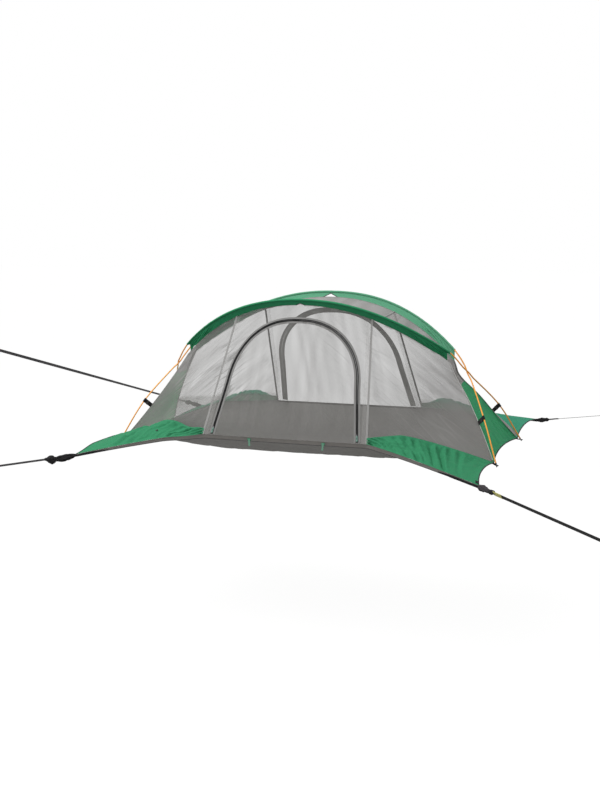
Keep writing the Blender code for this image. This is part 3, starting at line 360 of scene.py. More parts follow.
tent = {
    "foot": (1.226, 0.371, 0.002), "heel": (1.207, -0.355, 0.011), "heelRoom": 0.0174,
    "corner": (1.240, -0.889, 0.008), "edgeY": 0.607, "edgeZ": 0.130,
    "bandHeight": 0.024, "bandTip": 0.014, "bandFall": 1.2, "floorTuck": 0.012,
    "bellyZ": -0.020, "bellyFullness": 4.0, "endScallop": (0.027, 0.019),
    "seamFootX": 0.520, "seamTopX": 0.440, "seamBend": 0.010, "seamBendRun": 0.12,
    "rootZ": 0.161, "crest": (0.700, 0.176), "rootBends": (1.2, 1.24),
    "sleeveHalf": 0.874, "ridge": (0.272, 0.893), "ridgeEnd": (0.050, 0.538),
    "ridgeBends": (2.39, 2.11), "foldHollow": 0.047, "roofSag": 0.050, "netEnd": 0.25,
    "pole": (0.288, 0.924), "poleEnd": (0.060, 0.600), "poleBends": (2.65, 2.19),
    "jointInset": 0.014, "cross": (0.972, 0.0, 0.472), "crossSpread": 0.060,
    "clip": (1.116, 0.220, 0.248), "clipShare": 0.592, "notch": (0.050, 0.022),
    "door": (0.463, 0.445), "doorHeights": (0.42, 0.882), "doorRound": 2.6, "tabOuter": 0.014,
}
# how the straps' uneven pull moves the cloth from those lines
uneven = {
    "leftLift": 0.013, "leftBillow": 0.022, "fromEdge": 0.15, "startX": 0.59, "runX": 0.17, "runY": 0.11,
    "fadeZ": 0.18, "runZ": 0.35, "backLift": 0.027, "backRunY": 0.40, "slack": 0.030, "slackAt": 0.695,
    "slackRun": 0.10, "slackZ": 0.176, "slackHigh": 0.14, "slackFromEdge": 0.07,
    "hollow": 0.034, "hollowAt": 0.440, "hollowRun": 0.090, "hollowX": (0.83, 0.10),
    "hollowY": (-0.16, 0.22),
}
faceSigns, handSigns = {"front": 1, "back": -1}, {"left": -1, "right": 1}
quarters = [(side, y, way, x) for side, y in faceSigns.items() for way, x in handSigns.items()]


def mix(a, b, t):
    return a + (b - a) * t


def ease(t):
    t = np.clip(t, 0, 1)
    return t * t * (3 - 2 * t)


def spots(x, y, z):
    return np.stack(np.broadcast_arrays(x, y, z), -1).astype(float)


def unit(v):
    return v / np.maximum(np.linalg.norm(v, axis=-1, keepdims=True), 1e-12)


def hand(p, x=1, y=1):
    return np.asarray(p, float) * (x, y, 1)


heel, corner, upward = np.array(tent["heel"]), np.array(tent["corner"]), np.array((0.0, 0.0, 1.0))


def archLine(x, top, end, bends):
    x = np.asarray(x, float)
    t = np.abs(x) / tent["sleeveHalf"]
    return spots(x, -mix(tent[top][0], tent[end][0], t ** tent[bends][0]),
                 mix(tent[top][1], tent[end][1], t ** tent[bends][1]))


def ridgeLine(x):
    return archLine(x, "ridge", "ridgeEnd", "ridgeBends")


def poleLine(x):
    return archLine(x, "pole", "poleEnd", "poleBends")


sleeveEnd = ridgeLine(tent["sleeveHalf"])
foldShare = 1 - tent["heelRoom"] / np.linalg.norm(heel - sleeveEnd)


def foldLine(t):
    t = np.asarray(t, float)
    p = mix(sleeveEnd, heel, t[..., None])
    p[..., 1] += tent["foldHollow"] * 4 * t * (1 - t)
    return p


def edgeLine(x):
    x = np.asarray(x, float)
    s = np.maximum(np.abs(x) - tent["seamFootX"], 0) / (corner[0] - tent["seamFootX"])
    return spots(x, -mix(tent["edgeY"], -corner[1], s), mix(tent["edgeZ"], corner[2], s ** tent["bandFall"]))


def wallSpot(u, v):
    u, v = np.asarray(u, float), np.asarray(v, float)[..., None]
    top = ridgeLine(u * tent["seamTopX"] / tent["seamFootX"])
    return mix(spots(u, -tent["edgeY"], tent["edgeZ"]), top, v)


rootShare = (tent["rootZ"] - tent["edgeZ"]) / (ridgeLine(tent["seamTopX"])[2] - tent["edgeZ"])
rootStart = wallSpot(tent["seamFootX"], rootShare)


def wingRoot(t):
    p = mix(rootStart, heel, np.asarray(t, float)[..., None])
    crestX, crestZ = tent["crest"]
    inner = np.clip((crestX - p[..., 0]) / (crestX - rootStart[0]), 0, 1)
    outer = np.clip((p[..., 0] - crestX) / (heel[0] - crestX), 0, 1)
    climb, fall = tent["rootBends"]
    p[..., 2] = np.where(p[..., 0] < crestX, mix(crestZ, tent["rootZ"], inner ** climb),
                         mix(crestZ, heel[2], outer ** fall))
    return p


shoulderShare = 5 / 13  # of the side wall's top that follows the sleeve; the rest is the fold


def sideTop(s):
    s = np.asarray(s, float)
    along = ridgeLine(mix(tent["seamTopX"], tent["sleeveHalf"], np.minimum(s / shoulderShare, 1)))
    down = foldLine(foldShare * np.clip((s - shoulderShare) / (1 - shoulderShare), 0, 1))
    return np.where((s <= shoulderShare)[..., None], along, down)


def sideFoot(s, tuck=0.0):
    s = np.asarray(s, float)
    start = np.array((tent["seamFootX"], tuck - tent["edgeY"], tent["edgeZ"]))
    p = mix(start, heel, (foldShare * s)[..., None])
    drop = wingRoot(foldShare * s)[..., 2] - start[2]
    bent = 0.5 * (drop - np.sqrt(drop * drop + tent["seamBend"] ** 2))
    p[..., 2] = start[2] + bent * ease(s / tent["seamBendRun"])
    return p


def sideWaist(s):
    return wingRoot(foldShare * np.asarray(s, float))


def acrossSpots(half, x, z, steps, xBow=0.0, zBow=0.0, power=2.0):
    s = np.sin(np.pi / 2 * np.linspace(-1, 1, steps + 1))
    given = (half, x, z, xBow, zBow, power)
    half, x, z, xBow, zBow, power = (np.asarray(a, float)[..., None] for a in given)
    return spots(x + xBow * (1 - s * s), half * s, z + zBow * (1 - np.abs(s) ** power))


def endSpots(p, t, steps):
    t = np.asarray(t, float)
    inward, rise = tent["endScallop"]
    sag = tent["roofSag"] * p[..., 1] * (1 - t)
    return acrossSpots(-p[..., 1], p[..., 0], p[..., 2], steps, -inward * t ** 2, sag + rise * t ** 2)


def settled(p):
    p = np.array(p, float)
    x, y, z = p[..., 0], p[..., 1], p[..., 2]
    side = tent["foot"][1] + tent["tabOuter"]
    s = uneven
    fromEdge = y - edgeLine(x)[..., 1]
    lift = s["leftLift"] + s["leftBillow"] * ease(fromEdge / s["fromEdge"])
    lift = lift * ease((-x - s["startX"]) / s["runX"]) * ease((-y - side) / s["runY"])
    lift = lift * ease(1 - (z - s["fadeZ"]) / s["runZ"]) * (x < -tent["seamFootX"])
    reach = np.clip((x - tent["seamFootX"]) / (corner[0] - tent["seamFootX"]), 0, 1)
    slack = s["slack"] * np.exp(-((-x - s["slackAt"]) / s["slackRun"]) ** 2) * ease((-y - side) / s["runY"])
    slack = slack * ease(1 - np.abs(z - s["slackZ"]) / s["slackHigh"]) * ease(fromEdge / s["slackFromEdge"])
    p[..., 2] += lift - slack + s["backLift"] * reach * ease((y - side) / s["backRunY"])
    return p


def hollowed(p):
    p = settled(p)
    x, y, z = p[..., 0], p[..., 1], p[..., 2]
    s = uneven
    (fromX, runX), (fromY, runY) = s["hollowX"], s["hollowY"]
    inward = s["hollow"] * np.exp(-((z - s["hollowAt"]) / s["hollowRun"]) ** 2)
    p[..., 0] -= inward * ease((x - fromX) / runX) * ease((y - fromY) / runY)
    return p


# cloth from rows of points, and what wrinkles it

def gridNormals(grid):
    n = np.cross(np.gradient(grid, axis=1), np.gradient(grid, axis=0))
    return unit(n)


# pull lines across q: ridges between low and high, each with a shallower hollow beside it
def creases(q, low, high, count, width, seed):
    dice = random.Random(seed)
    total = np.zeros_like(q)
    for k in range(count):
        middle = mix(low, high, (k + dice.uniform(0.2, 0.8)) / count)
        d = (q - middle) / (width * dice.uniform(0.6, 1.4))
        total += dice.uniform(0.45, 1.0) * (np.exp(-d * d) - 0.55 * np.exp(-(d - 1.7) ** 2))
    return total


def cutLengths(grid, axis):
    step = np.linalg.norm(np.diff(grid, axis=axis), axis=-1)
    total = np.cumsum(step, axis=axis)
    pad = np.zeros_like(np.take(total, [0], axis=axis))
    return np.concatenate([pad, total], axis=axis)


def clothMesh(name, grid, finish, inside=None, marks=None):
    height, width = grid.shape[:2]
    index = np.arange(height * width).reshape(height, width)
    quads = np.stack([index[:-1, :-1], index[:-1, 1:], index[1:, 1:], index[1:, :-1]], -1).reshape(-1, 4)
    if inside is not None and (gridNormals(grid) * (grid - np.asarray(inside, float))).sum() < 0:
        quads = quads[:, ::-1]
    mesh = bpy.data.meshes.new(name)
    mesh.from_pydata(grid.reshape(-1, 3).tolist(), [], quads.tolist())
    cut = np.stack([cutLengths(grid, 1), cutLengths(grid, 0)], -1).reshape(-1, 2)
    layer = mesh.uv_layers.new(name="cut")
    layer.data.foreach_set("uv", cut[quads.ravel()].astype(np.float32).ravel())
    for mark, values in (marks or {}).items():
        made = mesh.attributes.new(mark, "FLOAT", "POINT")
        made.data.foreach_set("value", np.asarray(values, np.float32).ravel())
    mesh.materials.append(finishes[finish])
    mesh.shade_smooth()
    return placed(name, mesh)


def madePlain(obj):
    graph = bpy.context.evaluated_depsgraph_get()
    mesh = bpy.data.meshes.new_from_object(obj.evaluated_get(graph), preserve_all_data_layers=True,
                                           depsgraph=graph)
    obj.modifiers.clear()
    old, obj.data = obj.data, mesh
    bpy.data.meshes.remove(old)
    mesh.name = obj.name
    return obj


def joined(parts, name, merge=0.0):
    work = bmesh.new()
    finish = parts[0].data.materials[0]
    for part in parts:
        work.from_mesh(part.data)
    if merge:
        bmesh.ops.remove_doubles(work, verts=work.verts, dist=merge)
    mesh = bpy.data.meshes.new(name)
    work.to_mesh(mesh)
    work.free()
    mesh.materials.append(finish)
    mesh.shade_smooth()
    for part in parts:
        old = part.data
        bpy.data.objects.remove(part)
        bpy.data.meshes.remove(old)
    return placed(name, mesh)


def thick(obj, thickness, rounded=0.0):
    wall = obj.modifiers.new("wall", "SOLIDIFY")
    wall.thickness, wall.offset, wall.use_even_offset = thickness, 0.0, False
    if rounded:
        edge = obj.modifiers.new("edge", "BEVEL")
        edge.width, edge.segments, edge.limit_method = rounded, 2, "ANGLE"
    madePlain(obj)
    obj.data.shade_smooth()
    obj.data.set_sharp_from_angle(angle=math.radians(50))
    return obj


def meshArea(obj):
    return sum(p.area for p in obj.data.polygons)


# geometry nodes: a tube swept along points, and small shapes set along them

def newTree(name, inputs):
    tree = bpy.data.node_groups.new(name, "GeometryNodeTree")
    tree.interface.new_socket(name="Geometry", in_out="INPUT", socket_type="NodeSocketGeometry")
    for label, kind in inputs:
        tree.interface.new_socket(name=label, in_out="INPUT", socket_type=kind)
    tree.interface.new_socket(name="Geometry", in_out="OUTPUT", socket_type="NodeSocketGeometry")
    graph = Graph(tree)
    return tree, graph, graph.node("NodeGroupInput")


def sweptTube():
    tree, graph, given = newTree("sweptTube", [("Radius", "NodeSocketFloat"), ("Sides", "NodeSocketInt"),
                                               ("Finish", "NodeSocketMaterial")])
    line = graph.node("GeometryNodeMeshToCurve", None, {"Mesh": given.out("Geometry")})
    swell = graph.node("GeometryNodeInputNamedAttribute", {"data_type": "FLOAT"}, {"Name": "swell"})
    radius = graph.node("ShaderNodeMath", {"operation": "MULTIPLY"}, {0: swell, 1: given.out("Radius")})
    ring = graph.node("GeometryNodeCurvePrimitiveCircle", {"mode": "RADIUS"},
                      {"Resolution": given.out("Sides"), "Radius": 1.0})
    body = graph.node("GeometryNodeCurveToMesh", None,
                      {"Curve": line, "Profile Curve": ring, "Scale": radius, "Fill Caps": True})
    body = graph.node("GeometryNodeRealizeInstances", None, {"Geometry": body})
    body = graph.node("GeometryNodeSetMaterial", None, {"Geometry": body, "Material": given.out("Finish")})
    graph.node("NodeGroupOutput", None, {0: body})
    return tree


def beadRow():
    tree, graph, given = newTree("beadRow", [("Spacing", "NodeSocketFloat"), ("Size", "NodeSocketVector"),
                                             ("Jitter", "NodeSocketFloat"), ("Seed", "NodeSocketInt"),
                                             ("Finish", "NodeSocketMaterial")])
    line = graph.node("GeometryNodeMeshToCurve", None, {"Mesh": given.out("Geometry")})
    beads = graph.node("GeometryNodeResampleCurve", {"mode": "LENGTH"},
                       {"Curve": line, "Length": given.out("Spacing")})
    bead = graph.node("GeometryNodeMeshIcoSphere", None, {"Radius": 0.5, "Subdivisions": 1})
    bead = graph.node("GeometryNodeTransform", None, {"Geometry": bead, "Scale": given.out("Size")})
    tangent = graph.node("GeometryNodeInputTangent")
    outward = graph.node("GeometryNodeInputNamedAttribute", {"data_type": "FLOAT_VECTOR"},
                         {"Name": "outward"})
    turn = graph.node("FunctionNodeAlignRotationToVector", {"axis": "X"}, {"Vector": tangent})
    turn = graph.node("FunctionNodeAlignRotationToVector", {"axis": "Z", "pivot_axis": "X"},
                      {"Rotation": turn, "Vector": outward})
    spread = given.out("Jitter")
    chance = graph.node("FunctionNodeRandomValue", {"data_type": "FLOAT"},
                        {2: 1 - spread, 3: 1 + spread, "Seed": given.out("Seed")}, 1)
    beads = graph.node("GeometryNodeInstanceOnPoints", None,
                       {"Points": beads, "Instance": bead, "Rotation": turn, "Scale": chance})
    beads = graph.node("GeometryNodeRealizeInstances", None, {"Geometry": beads})
    beads = graph.node("GeometryNodeSetShadeSmooth", None, {0: beads})
    beads = graph.node("GeometryNodeSetMaterial", None, {"Geometry": beads, "Material": given.out("Finish")})
    graph.node("NodeGroupOutput", None, {0: beads})
    return tree


tubeTree, beadTree = sweptTube(), beadRow()


def withTree(obj, tree, values):
    made = obj.modifiers.new("nodes", "NODES")
    made.node_group = tree
    names = {i.name: i.identifier for i in tree.interface.items_tree if i.in_out == "INPUT"}
    for label, value in values.items():
        made[names[label]] = value
    return madePlain(obj)


def polyline(name, line, marks):
    line = np.asarray(line, float)
    mesh = bpy.data.meshes.new(name)
    mesh.from_pydata(line.tolist(), [(k, k + 1) for k in range(len(line) - 1)], [])
    for mark, values in marks.items():
        values = np.asarray(values, np.float32)
        kind = "FLOAT_VECTOR" if values.ndim == 2 else "FLOAT"
        made = mesh.attributes.new(mark, kind, "POINT")
        made.data.foreach_set("vector" if values.ndim == 2 else "value", values.ravel())
    return placed(name, mesh)


def tube(name, line, radius, finish, sides=12, swell=None):
    swell = np.ones(len(line)) if swell is None else swell
    made = withTree(polyline(name, line, {"swell": swell}), tubeTree,
                    {"Radius": radius, "Sides": sides, "Finish": finishes[finish]})
    made.data.shade_smooth()
    made.data.set_sharp_from_angle(angle=math.radians(45))
    return made


def beadsAlong(name, line, outward, spacing, size, finish, jitter=0.06, seed=3):
    outward = np.broadcast_to(outward, np.shape(line))
    return withTree(polyline(name, line, {"outward": outward}), beadTree,
                    {"Spacing": spacing, "Size": size, "Jitter": jitter, "Seed": seed,
                     "Finish": finishes[finish]})


def tangents(line):
    return unit(np.gradient(np.asarray(line, float), axis=0))


def runAlong(line):
    return np.concatenate([[0], np.cumsum(np.linalg.norm(np.diff(line, axis=0), axis=-1))])


def resampled(values, run, places):
    return np.stack([np.interp(places, run, values[:, k]) for k in range(3)], -1)


def strip(name, line, out, low, high, lift, thickness, finish, steps=4, ends=(0, 0)):
    line = np.asarray(line, float)
    way = tangents(line)
    side = unit(np.cross(way, np.broadcast_to(out, line.shape)))
    out = unit(np.cross(side, way))
    line = line.copy()
    line[0] += way[0] * ends[0]
    line[-1] -= way[-1] * ends[1]
    rows = [line + side * mix(low, high, k / steps) + out * lift for k in range(steps + 1)]
    return thick(clothMesh(name, np.stack(rows), finish), thickness)


def stitches(name, line, out, lift=0.0009, finish="greyThread", seed=5, spacing=0.0042):
    line = np.asarray(line, float) + np.asarray(out, float) * lift
    return beadsAlong(name, line, out, spacing, (0.0030, 0.0007, 0.0006), finish, 0.1, seed)


def softNoise(a, b, seed):
    lattice = np.random.default_rng(seed).uniform(-1, 1, (64, 64))
    i, j = np.floor(a).astype(int), np.floor(b).astype(int)
    f, g = ease(a - i), ease(b - j)
    rows = [mix(lattice[(i + k) % 64, j % 64], lattice[(i + k) % 64, (j + 1) % 64], g) for k in (0, 1)]
    return mix(rows[0], rows[1], f)


def ripple(grid, height):
    return grid + gridNormals(grid) * np.asarray(height)[..., None]


def window(t, low, high):
    return ease(np.minimum(t / max(low, 1e-6), 1)) * ease(np.minimum((1 - t) / max(high, 1e-6), 1))


def piece(obj, nodes=(), body="tent"):
    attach(obj, body)
    if nodes:
        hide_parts(*nodes)
    return obj


def loft(name, rings, finish):
    count, sides = rings.shape[:2]
    points = rings.reshape(-1, 3).tolist()
    faces = [(k * sides + i, k * sides + (i + 1) % sides, (k + 1) * sides + (i + 1) % sides,
              (k + 1) * sides + i) for k in range(count - 1) for i in range(sides)]
    for base in (0, (count - 1) * sides):
        points.append(rings[base // sides].mean(axis=0).tolist())
        faces += [(base + i, base + (i + 1) % sides, len(points) - 1) for i in range(sides)]
    mesh = bpy.data.meshes.new(name)
    mesh.from_pydata(points, [], faces)
    uv = mesh.uv_layers.new(name="cut")
    around = np.linalg.norm(np.roll(rings, -1, axis=1) - rings, axis=-1)
    across = np.concatenate([np.zeros((count, 1)), np.cumsum(around, axis=1)], axis=1)
    down = runAlong(rings.mean(axis=1))
    flat = []
    for k in range(count - 1):
        for i in range(sides):
            flat += [across[k, i], down[k], across[k, i + 1], down[k],
                     across[k + 1, i + 1], down[k + 1], across[k + 1, i], down[k + 1]]
    flat += [0.0] * (len(uv.data) * 2 - len(flat))
    uv.data.foreach_set("uv", flat)
    work = bmesh.new()
    work.from_mesh(mesh)
    bmesh.ops.recalc_face_normals(work, faces=work.faces)
    work.to_mesh(mesh)
    work.free()
    mesh.materials.append(finishes[finish])
    mesh.shade_smooth()
    mesh.set_sharp_from_angle(angle=math.radians(55))
    return placed(name, mesh)


# corner straps, each pulled tight by a plate that lies beyond the picture

strapRuns = {
    "front_left": {"heading": (-0.555, -0.832), "rise": 0.013, "length": 0.400, "roll": 12.0,
                   "hand": (-1, 1)},
    "front_right": {"heading": (0.680, -0.733), "rise": -0.002, "length": 0.980, "roll": 60.0,
                    "hand": (1, 1)},
    "back_right": {"heading": (0.808, 0.589), "rise": 0.001, "length": 0.385, "roll": 12.0,
                   "hand": (1, -1)},
    "back_left": {"heading": (-0.978, 0.208), "rise": 0.139, "length": 2.050, "roll": 50.0,
                  "rollNear": 8.0, "hand": (-1, -1)},
}
strapCut = {
    "width": 0.025, "thickness": 0.0020, "gather": 0.100, "knot": 0.052, "gap": 0.0003, "drop": 0.007,
    "rounding": 0.0005, "crown": 0.0005, "bandBack": 0.024, "seamAt": 0.38, "stitchLift": 0.0006,
    "stitchEvery": 0.006,
}
plateShape = {"length": 0.052, "width": 0.042, "thickness": 0.0034, "slot": (0.028, 0.020), "corner": 0.008,
              "slotCorner": 0.005, "edge": 0.0007}


def cornerRun(run):
    x, y = run["hand"]
    band = (corner - edgeLine(corner[0] - strapCut["bandBack"])) * (x, y, 0)
    start = hand(corner, x, y) - upward * strapCut["drop"] + unit(band) * strapCut["gap"]
    way = unit(np.array((*run["heading"], run["rise"])))
    level = unit(np.cross(way, upward))
    upright = np.cross(level, way)
    tilt = math.radians(run["roll"])
    width = level * math.cos(tilt) + upright * math.sin(tilt)
    return {"start": start, "way": way, "level": level, "upright": upright, "band": unit(band),
            "width": width, "normal": unit(np.cross(way, width))}


def roundedBox(length, width, radius, steps=6):
    places = []
    for sx, sy, first in ((1, 1, 0), (-1, 1, 90), (-1, -1, 180), (1, -1, 270)):
        for i in range(steps + 1):
            angle = math.radians(first + 90 * i / steps)
            places.append((sx * (length / 2 - radius) + radius * math.cos(angle),
                           sy * (width / 2 - radius) + radius * math.sin(angle)))
    return np.array(places)


def holedPlate(name, centre, way, width, outer, hole, thickness, finish, edge):
    rings = [centre + way * ring[:, :1] + width * ring[:, 1:] for ring in (outer, hole)]
    made = clothMesh(name, np.stack([np.vstack([r, r[:1]]) for r in rings]), finish)
    work = bmesh.new()
    work.from_mesh(made.data)
    bmesh.ops.remove_doubles(work, verts=work.verts, dist=1e-6)
    work.to_mesh(made.data)
    work.free()
    return thick(made, thickness, edge)


def makeStrap(name, run):
    s, frameOf = strapCut, cornerRun(run)
    way, width, normal = frameOf["way"], frameOf["width"], frameOf["normal"]
    start = frameOf["start"] + way * (s["gather"] + s["knot"] + s["gap"])
    along = np.linspace(0, run["length"], max(14, round(run["length"] / 0.02)))
    turned = math.radians(run["roll"] - run.get("rollNear", run["roll"]))
    turned = turned * (1 - ease(along / run["length"]))[:, None]
    wide = width * np.cos(turned) + normal * np.sin(turned)
    thin = unit(np.cross(way, wide))
    acrossIt = np.linspace(-0.5, 0.5, 9)
    crown = s["crown"] * (1 - (2 * acrossIt) ** 2)
    grid = ((start + way * along[:, None])[:, None] + wide[:, None] * (acrossIt * s["width"])[None, :, None]
            + thin[:, None] * crown[None, :, None])
    path = settled(start + way * np.linspace(0, run["length"], len(along))[:, None])
    ribbon = clothMesh(f"{name}_ribbon", settled(grid), "strapWebbing")
    strap = piece(thick(ribbon, s["thickness"], s["rounding"]), [f"{name}_strap"])
    sides = []
    for k, side in enumerate((-1, 1)):
        line = path + wide * (side * s["width"] * s["seamAt"])
        sewn = stitches(f"{name}_ribbon_stitches_{k}", line, thin, s["thickness"] / 2 + s["stitchLift"],
                        seed=11 + k, spacing=s["stitchEvery"])
        sides.append(piece(sewn))
    p = plateShape
    centre = settled(start + way * (run["length"] + s["gap"] + p["length"] / 2))
    plate = holedPlate(f"{name}_end_plate", centre, way, width,
                       roundedBox(p["length"], p["width"], p["corner"]),
                       roundedBox(*p["slot"], p["slotCorner"]), p["thickness"], "steel", p["edge"])
    extras = [piece(plate, [f"{name}_strap_plate"]), *sides]
    if name == "front_right":
        extras.append(makeLabel(start, way, width, normal))


labelCut = {"from": 0.002, "to": 0.082, "overhang": 0.0012, "rise": 0.0026, "thickness": 0.0006}


def makeLabel(start, way, width, normal):
    s = labelCut
    half = strapCut["width"] / 2 + s["overhang"]
    turn = np.linspace(0, 2 * np.pi, 33)
    ring = np.stack([np.sign(np.cos(turn)) * np.abs(np.cos(turn)) ** 0.35 * half,
                     np.sign(np.sin(turn)) * np.abs(np.sin(turn)) ** 0.8 * s["rise"]], -1)
    along = np.linspace(s["from"], s["to"], 18)
    ruck = 1 + 0.10 * softNoise(along[:, None] * 90, turn[None] * 1.3, 8)
    grid = (start + way * along[:, None, None] + width * (ring[None, :, :1] * np.ones_like(ruck)[..., None])
            + normal * (ring[None, :, 1] * ruck)[..., None])
    return piece(thick(clothMesh("bare_yellow_tab", settled(grid), "paleTab"), s["thickness"]))


for name, run in strapRuns.items():
    makeStrap(name, run)
print("straps:", len(strapRuns))


# gathered ends of the edge bands, each closed by a knot of the same webbing

gatherForm = {"sides": 64, "rows": 70, "folds": 6, "foldDepth": 0.24, "lace": 0.20, "knotDepth": 0.78,
              "knotAt": (0, 0.12, 0.4, 0.6, 0.85, 1.0), "knotSize": (0.42, 0.66, 1.0, 0.97, 0.56, 0.34)}
gathers = {
    "front_left": {"reach": (0, 0.02, 0.06, 0.10, 0.150), "wide": (0.009, 0.014, 0.022, 0.022, 0.012),
                   "high": (0.008, 0.013, 0.021, 0.020, 0.011), "knot": (0.124, 0.202), "knotHalf": 0.0300,
                   "sag": 0.008, "depth": 0.92},
    "front_right": {"reach": (0, 0.012, 0.04, 0.085, 0.115), "wide": (0.012, 0.019, 0.0230, 0.017, 0.011),
                    "high": (0.010, 0.015, 0.0185, 0.013, 0.009), "knot": (0.098, 0.166), "knotHalf": 0.0178,
                    # this gather's grey finish is a painted sheen
                    "finish": "wornWebbing"},
    "back_right": {"reach": (0, 0.015, 0.035, 0.055, 0.068), "wide": (0.011, 0.017, 0.020, 0.013, 0.008),
                   "high": (0.009, 0.013, 0.0165, 0.012, 0.008), "knot": (0.050, 0.090), "knotHalf": 0.0165},
    "back_left": {"reach": (0, 0.02, 0.05, 0.085, 0.115), "wide": (0.008, 0.012, 0.018, 0.016, 0.010),
                  "high": (0.007, 0.010, 0.015, 0.014, 0.009), "knot": (0.102, 0.168), "knotHalf": 0.0230},
}


def bundle(name, f, along, wide, high, swell, sag=0.0, finish="blackWebbing"):
    turn = np.linspace(0, 2 * np.pi, gatherForm["sides"], endpoint=False)
    first = unit(np.cross(f["band"], upward))
    level = unit(mix(first, f["level"], ease(along / 0.02)[:, None]))
    drop = f["upright"] * (sag * (ease(along / 0.13) - ease((along - 0.15) / 0.055)))[:, None]
    rings = ((f["start"] + f["way"] * along[:, None] - drop)[:, None]
             + level[:, None] * (np.cos(turn) * wide[:, None] * swell)[..., None]
             + f["upright"] * (np.sin(turn) * high[:, None] * swell)[..., None])
    return loft(name, settled(rings), finish)


def makeGather(name, run, own):
    s, f = gatherForm, cornerRun(run)
    seed = sum(map(ord, name))
    turn = np.linspace(0, 2 * np.pi, s["sides"], endpoint=False)[None]
    along = np.linspace(0.0004, own["reach"][-1], s["rows"])
    shift = softNoise(along * 24, along * 0 + 0.5, seed)[:, None] * 1.8
    fold = np.cos(turn * s["folds"] + shift) + 0.6 * np.cos(turn * 11 - 2 * shift)
    swell = 1 - s["foldDepth"] * 0.5 + s["foldDepth"] * 0.45 * fold
    swell = swell * (1 + 0.14 * softNoise(turn * 2.2, along[:, None] * 55, seed + 1))
    body = bundle(f"{name}_gathered_band", f, along, np.interp(along, own["reach"], own["wide"]),
                  np.interp(along, own["reach"], own["high"]), swell, own.get("sag", 0.0),
                  own.get("finish", "blackWebbing"))
    low, high = own["knot"]
    along = np.linspace(low, high, s["rows"])
    share = (along - low) / (high - low)
    shape = np.interp(share, s["knotAt"], s["knotSize"])
    twist = share[:, None] * 8.0
    lace = np.maximum(np.cos(2 * turn + twist), np.cos(2 * turn - twist + 0.6)) ** 3
    swell = 1 - s["lace"] + s["lace"] * lace + 0.08 * softNoise(turn * 3, share[:, None] * 12, seed + 2)
    depth = own.get("depth", s["knotDepth"])
    piece(bundle(f"{name}_knot", f, along, shape * own["knotHalf"], shape * own["knotHalf"] * depth, swell,
                 own.get("sag", 0.0)))
    end = strapCut["gather"] + strapCut["knot"]
    if high < end:
        along = np.linspace(high - 0.01, end, 24)
        swell = 1 + 0.10 * np.cos(turn * 5 + along[:, None] * 60)
        piece(bundle(f"{name}_strap_root", f, along, np.full(24, strapCut["width"] * 0.42),
                     np.full(24, 0.0034), swell))
    piece(body, [f"{name}_gather"])


for name, run in strapRuns.items():
    makeGather(name, run, gathers[name])
print("gathers: 4")


# canopy: the door frames, the four side walls, the roof and the netting tops of both ends

counts = {"half": 22, "leg": 23, "turn": 23, "rings": 10, "shoulder": 20, "fold": 32, "rows": 40,
          "skirt": 6, "across": 28, "netFold": 8, "thick": 1.05}
netDense = {1: (0.56, 0.44, 0.74), -1: (0.64, 0.33, 0.86)}
pullShare = {(-1, 1): 1.0, (-1, -1): 0.60, (1, 1): 0.32, (1, -1): 0.80}
# a row of creases, here and in the other pieces, is (low, high, count, width)
netRows = {"middle": (-0.8, 0.8, 12, 0.040), "side": (0.50, 1.25, 9, 0.034), "roof": (0.0, 1.0, 16, 0.014),
           "door": (-0.46, 0.46, 12, 0.026)}
shoulderSteps = np.linspace(0, shoulderShare, counts["shoulder"] + 1)
foldSteps = np.linspace(shoulderShare, 1, counts["fold"] + 1)
sideShares = np.concatenate([shoulderSteps, foldSteps[1:]])


def doorOutline():
    legs = np.arange(counts["leg"]) / counts["leg"]
    foot, shoulder = tent["door"]
    spring, top = tent["doorHeights"]
    leg = np.stack([mix(foot, shoulder, legs), spring * legs], -1)
    turn = np.linspace(0, np.pi / 4, counts["turn"] + 1)
    middle = np.linspace(np.pi / 4, 3 * np.pi / 4, 2 * counts["half"] + 1)
    angle = np.concatenate([turn, middle[1:-1], np.pi - turn[::-1]])
    cosine, sine = np.cos(angle), np.sin(angle)
    bend = 2 / tent["doorRound"]
    arch = np.stack([-shoulder * np.sign(cosine) * np.abs(cosine) ** bend,
                     mix(spring, top, np.abs(sine) ** bend)], -1)
    return np.concatenate([leg * (-1, 1), arch, leg[::-1]])


def frameOutline():
    waist = (tent["rootZ"] - tent["edgeZ"]) / (ridgeLine(tent["seamTopX"])[2] - tent["edgeZ"])
    side = np.concatenate([waist * np.arange(counts["skirt"]) / counts["skirt"],
                           mix(waist, 1, np.arange(counts["rows"]) / counts["rows"])])
    seam = tent["seamFootX"]
    left = np.stack([np.full_like(side, -seam), side], -1)
    top = np.stack([np.linspace(-seam, seam, 2 * counts["half"] + 1), np.ones(2 * counts["half"] + 1)], -1)
    return np.concatenate([left, top, left[::-1] * (-1, 1)])


doorLine, frameLine = doorOutline(), frameOutline()


def wallGrid(uv):
    return wallSpot(uv[..., 0], uv[..., 1])


# the cover mark follows the crease ridges as painted crease shade and their hollows as painted highlight, on
# top of the density given in dense
def netWrinkles(grid, lines, fade, depth, pull=0.0, dense=0.0, pale=0.0):
    marks = {"pucker": np.clip(lines, -0.8, 1.4) * fade * 0.25 + dense,
             "pull": np.broadcast_to(pull, lines.shape), "pale": np.broadcast_to(pale, lines.shape)}
    return ripple(grid, lines * fade * depth), marks


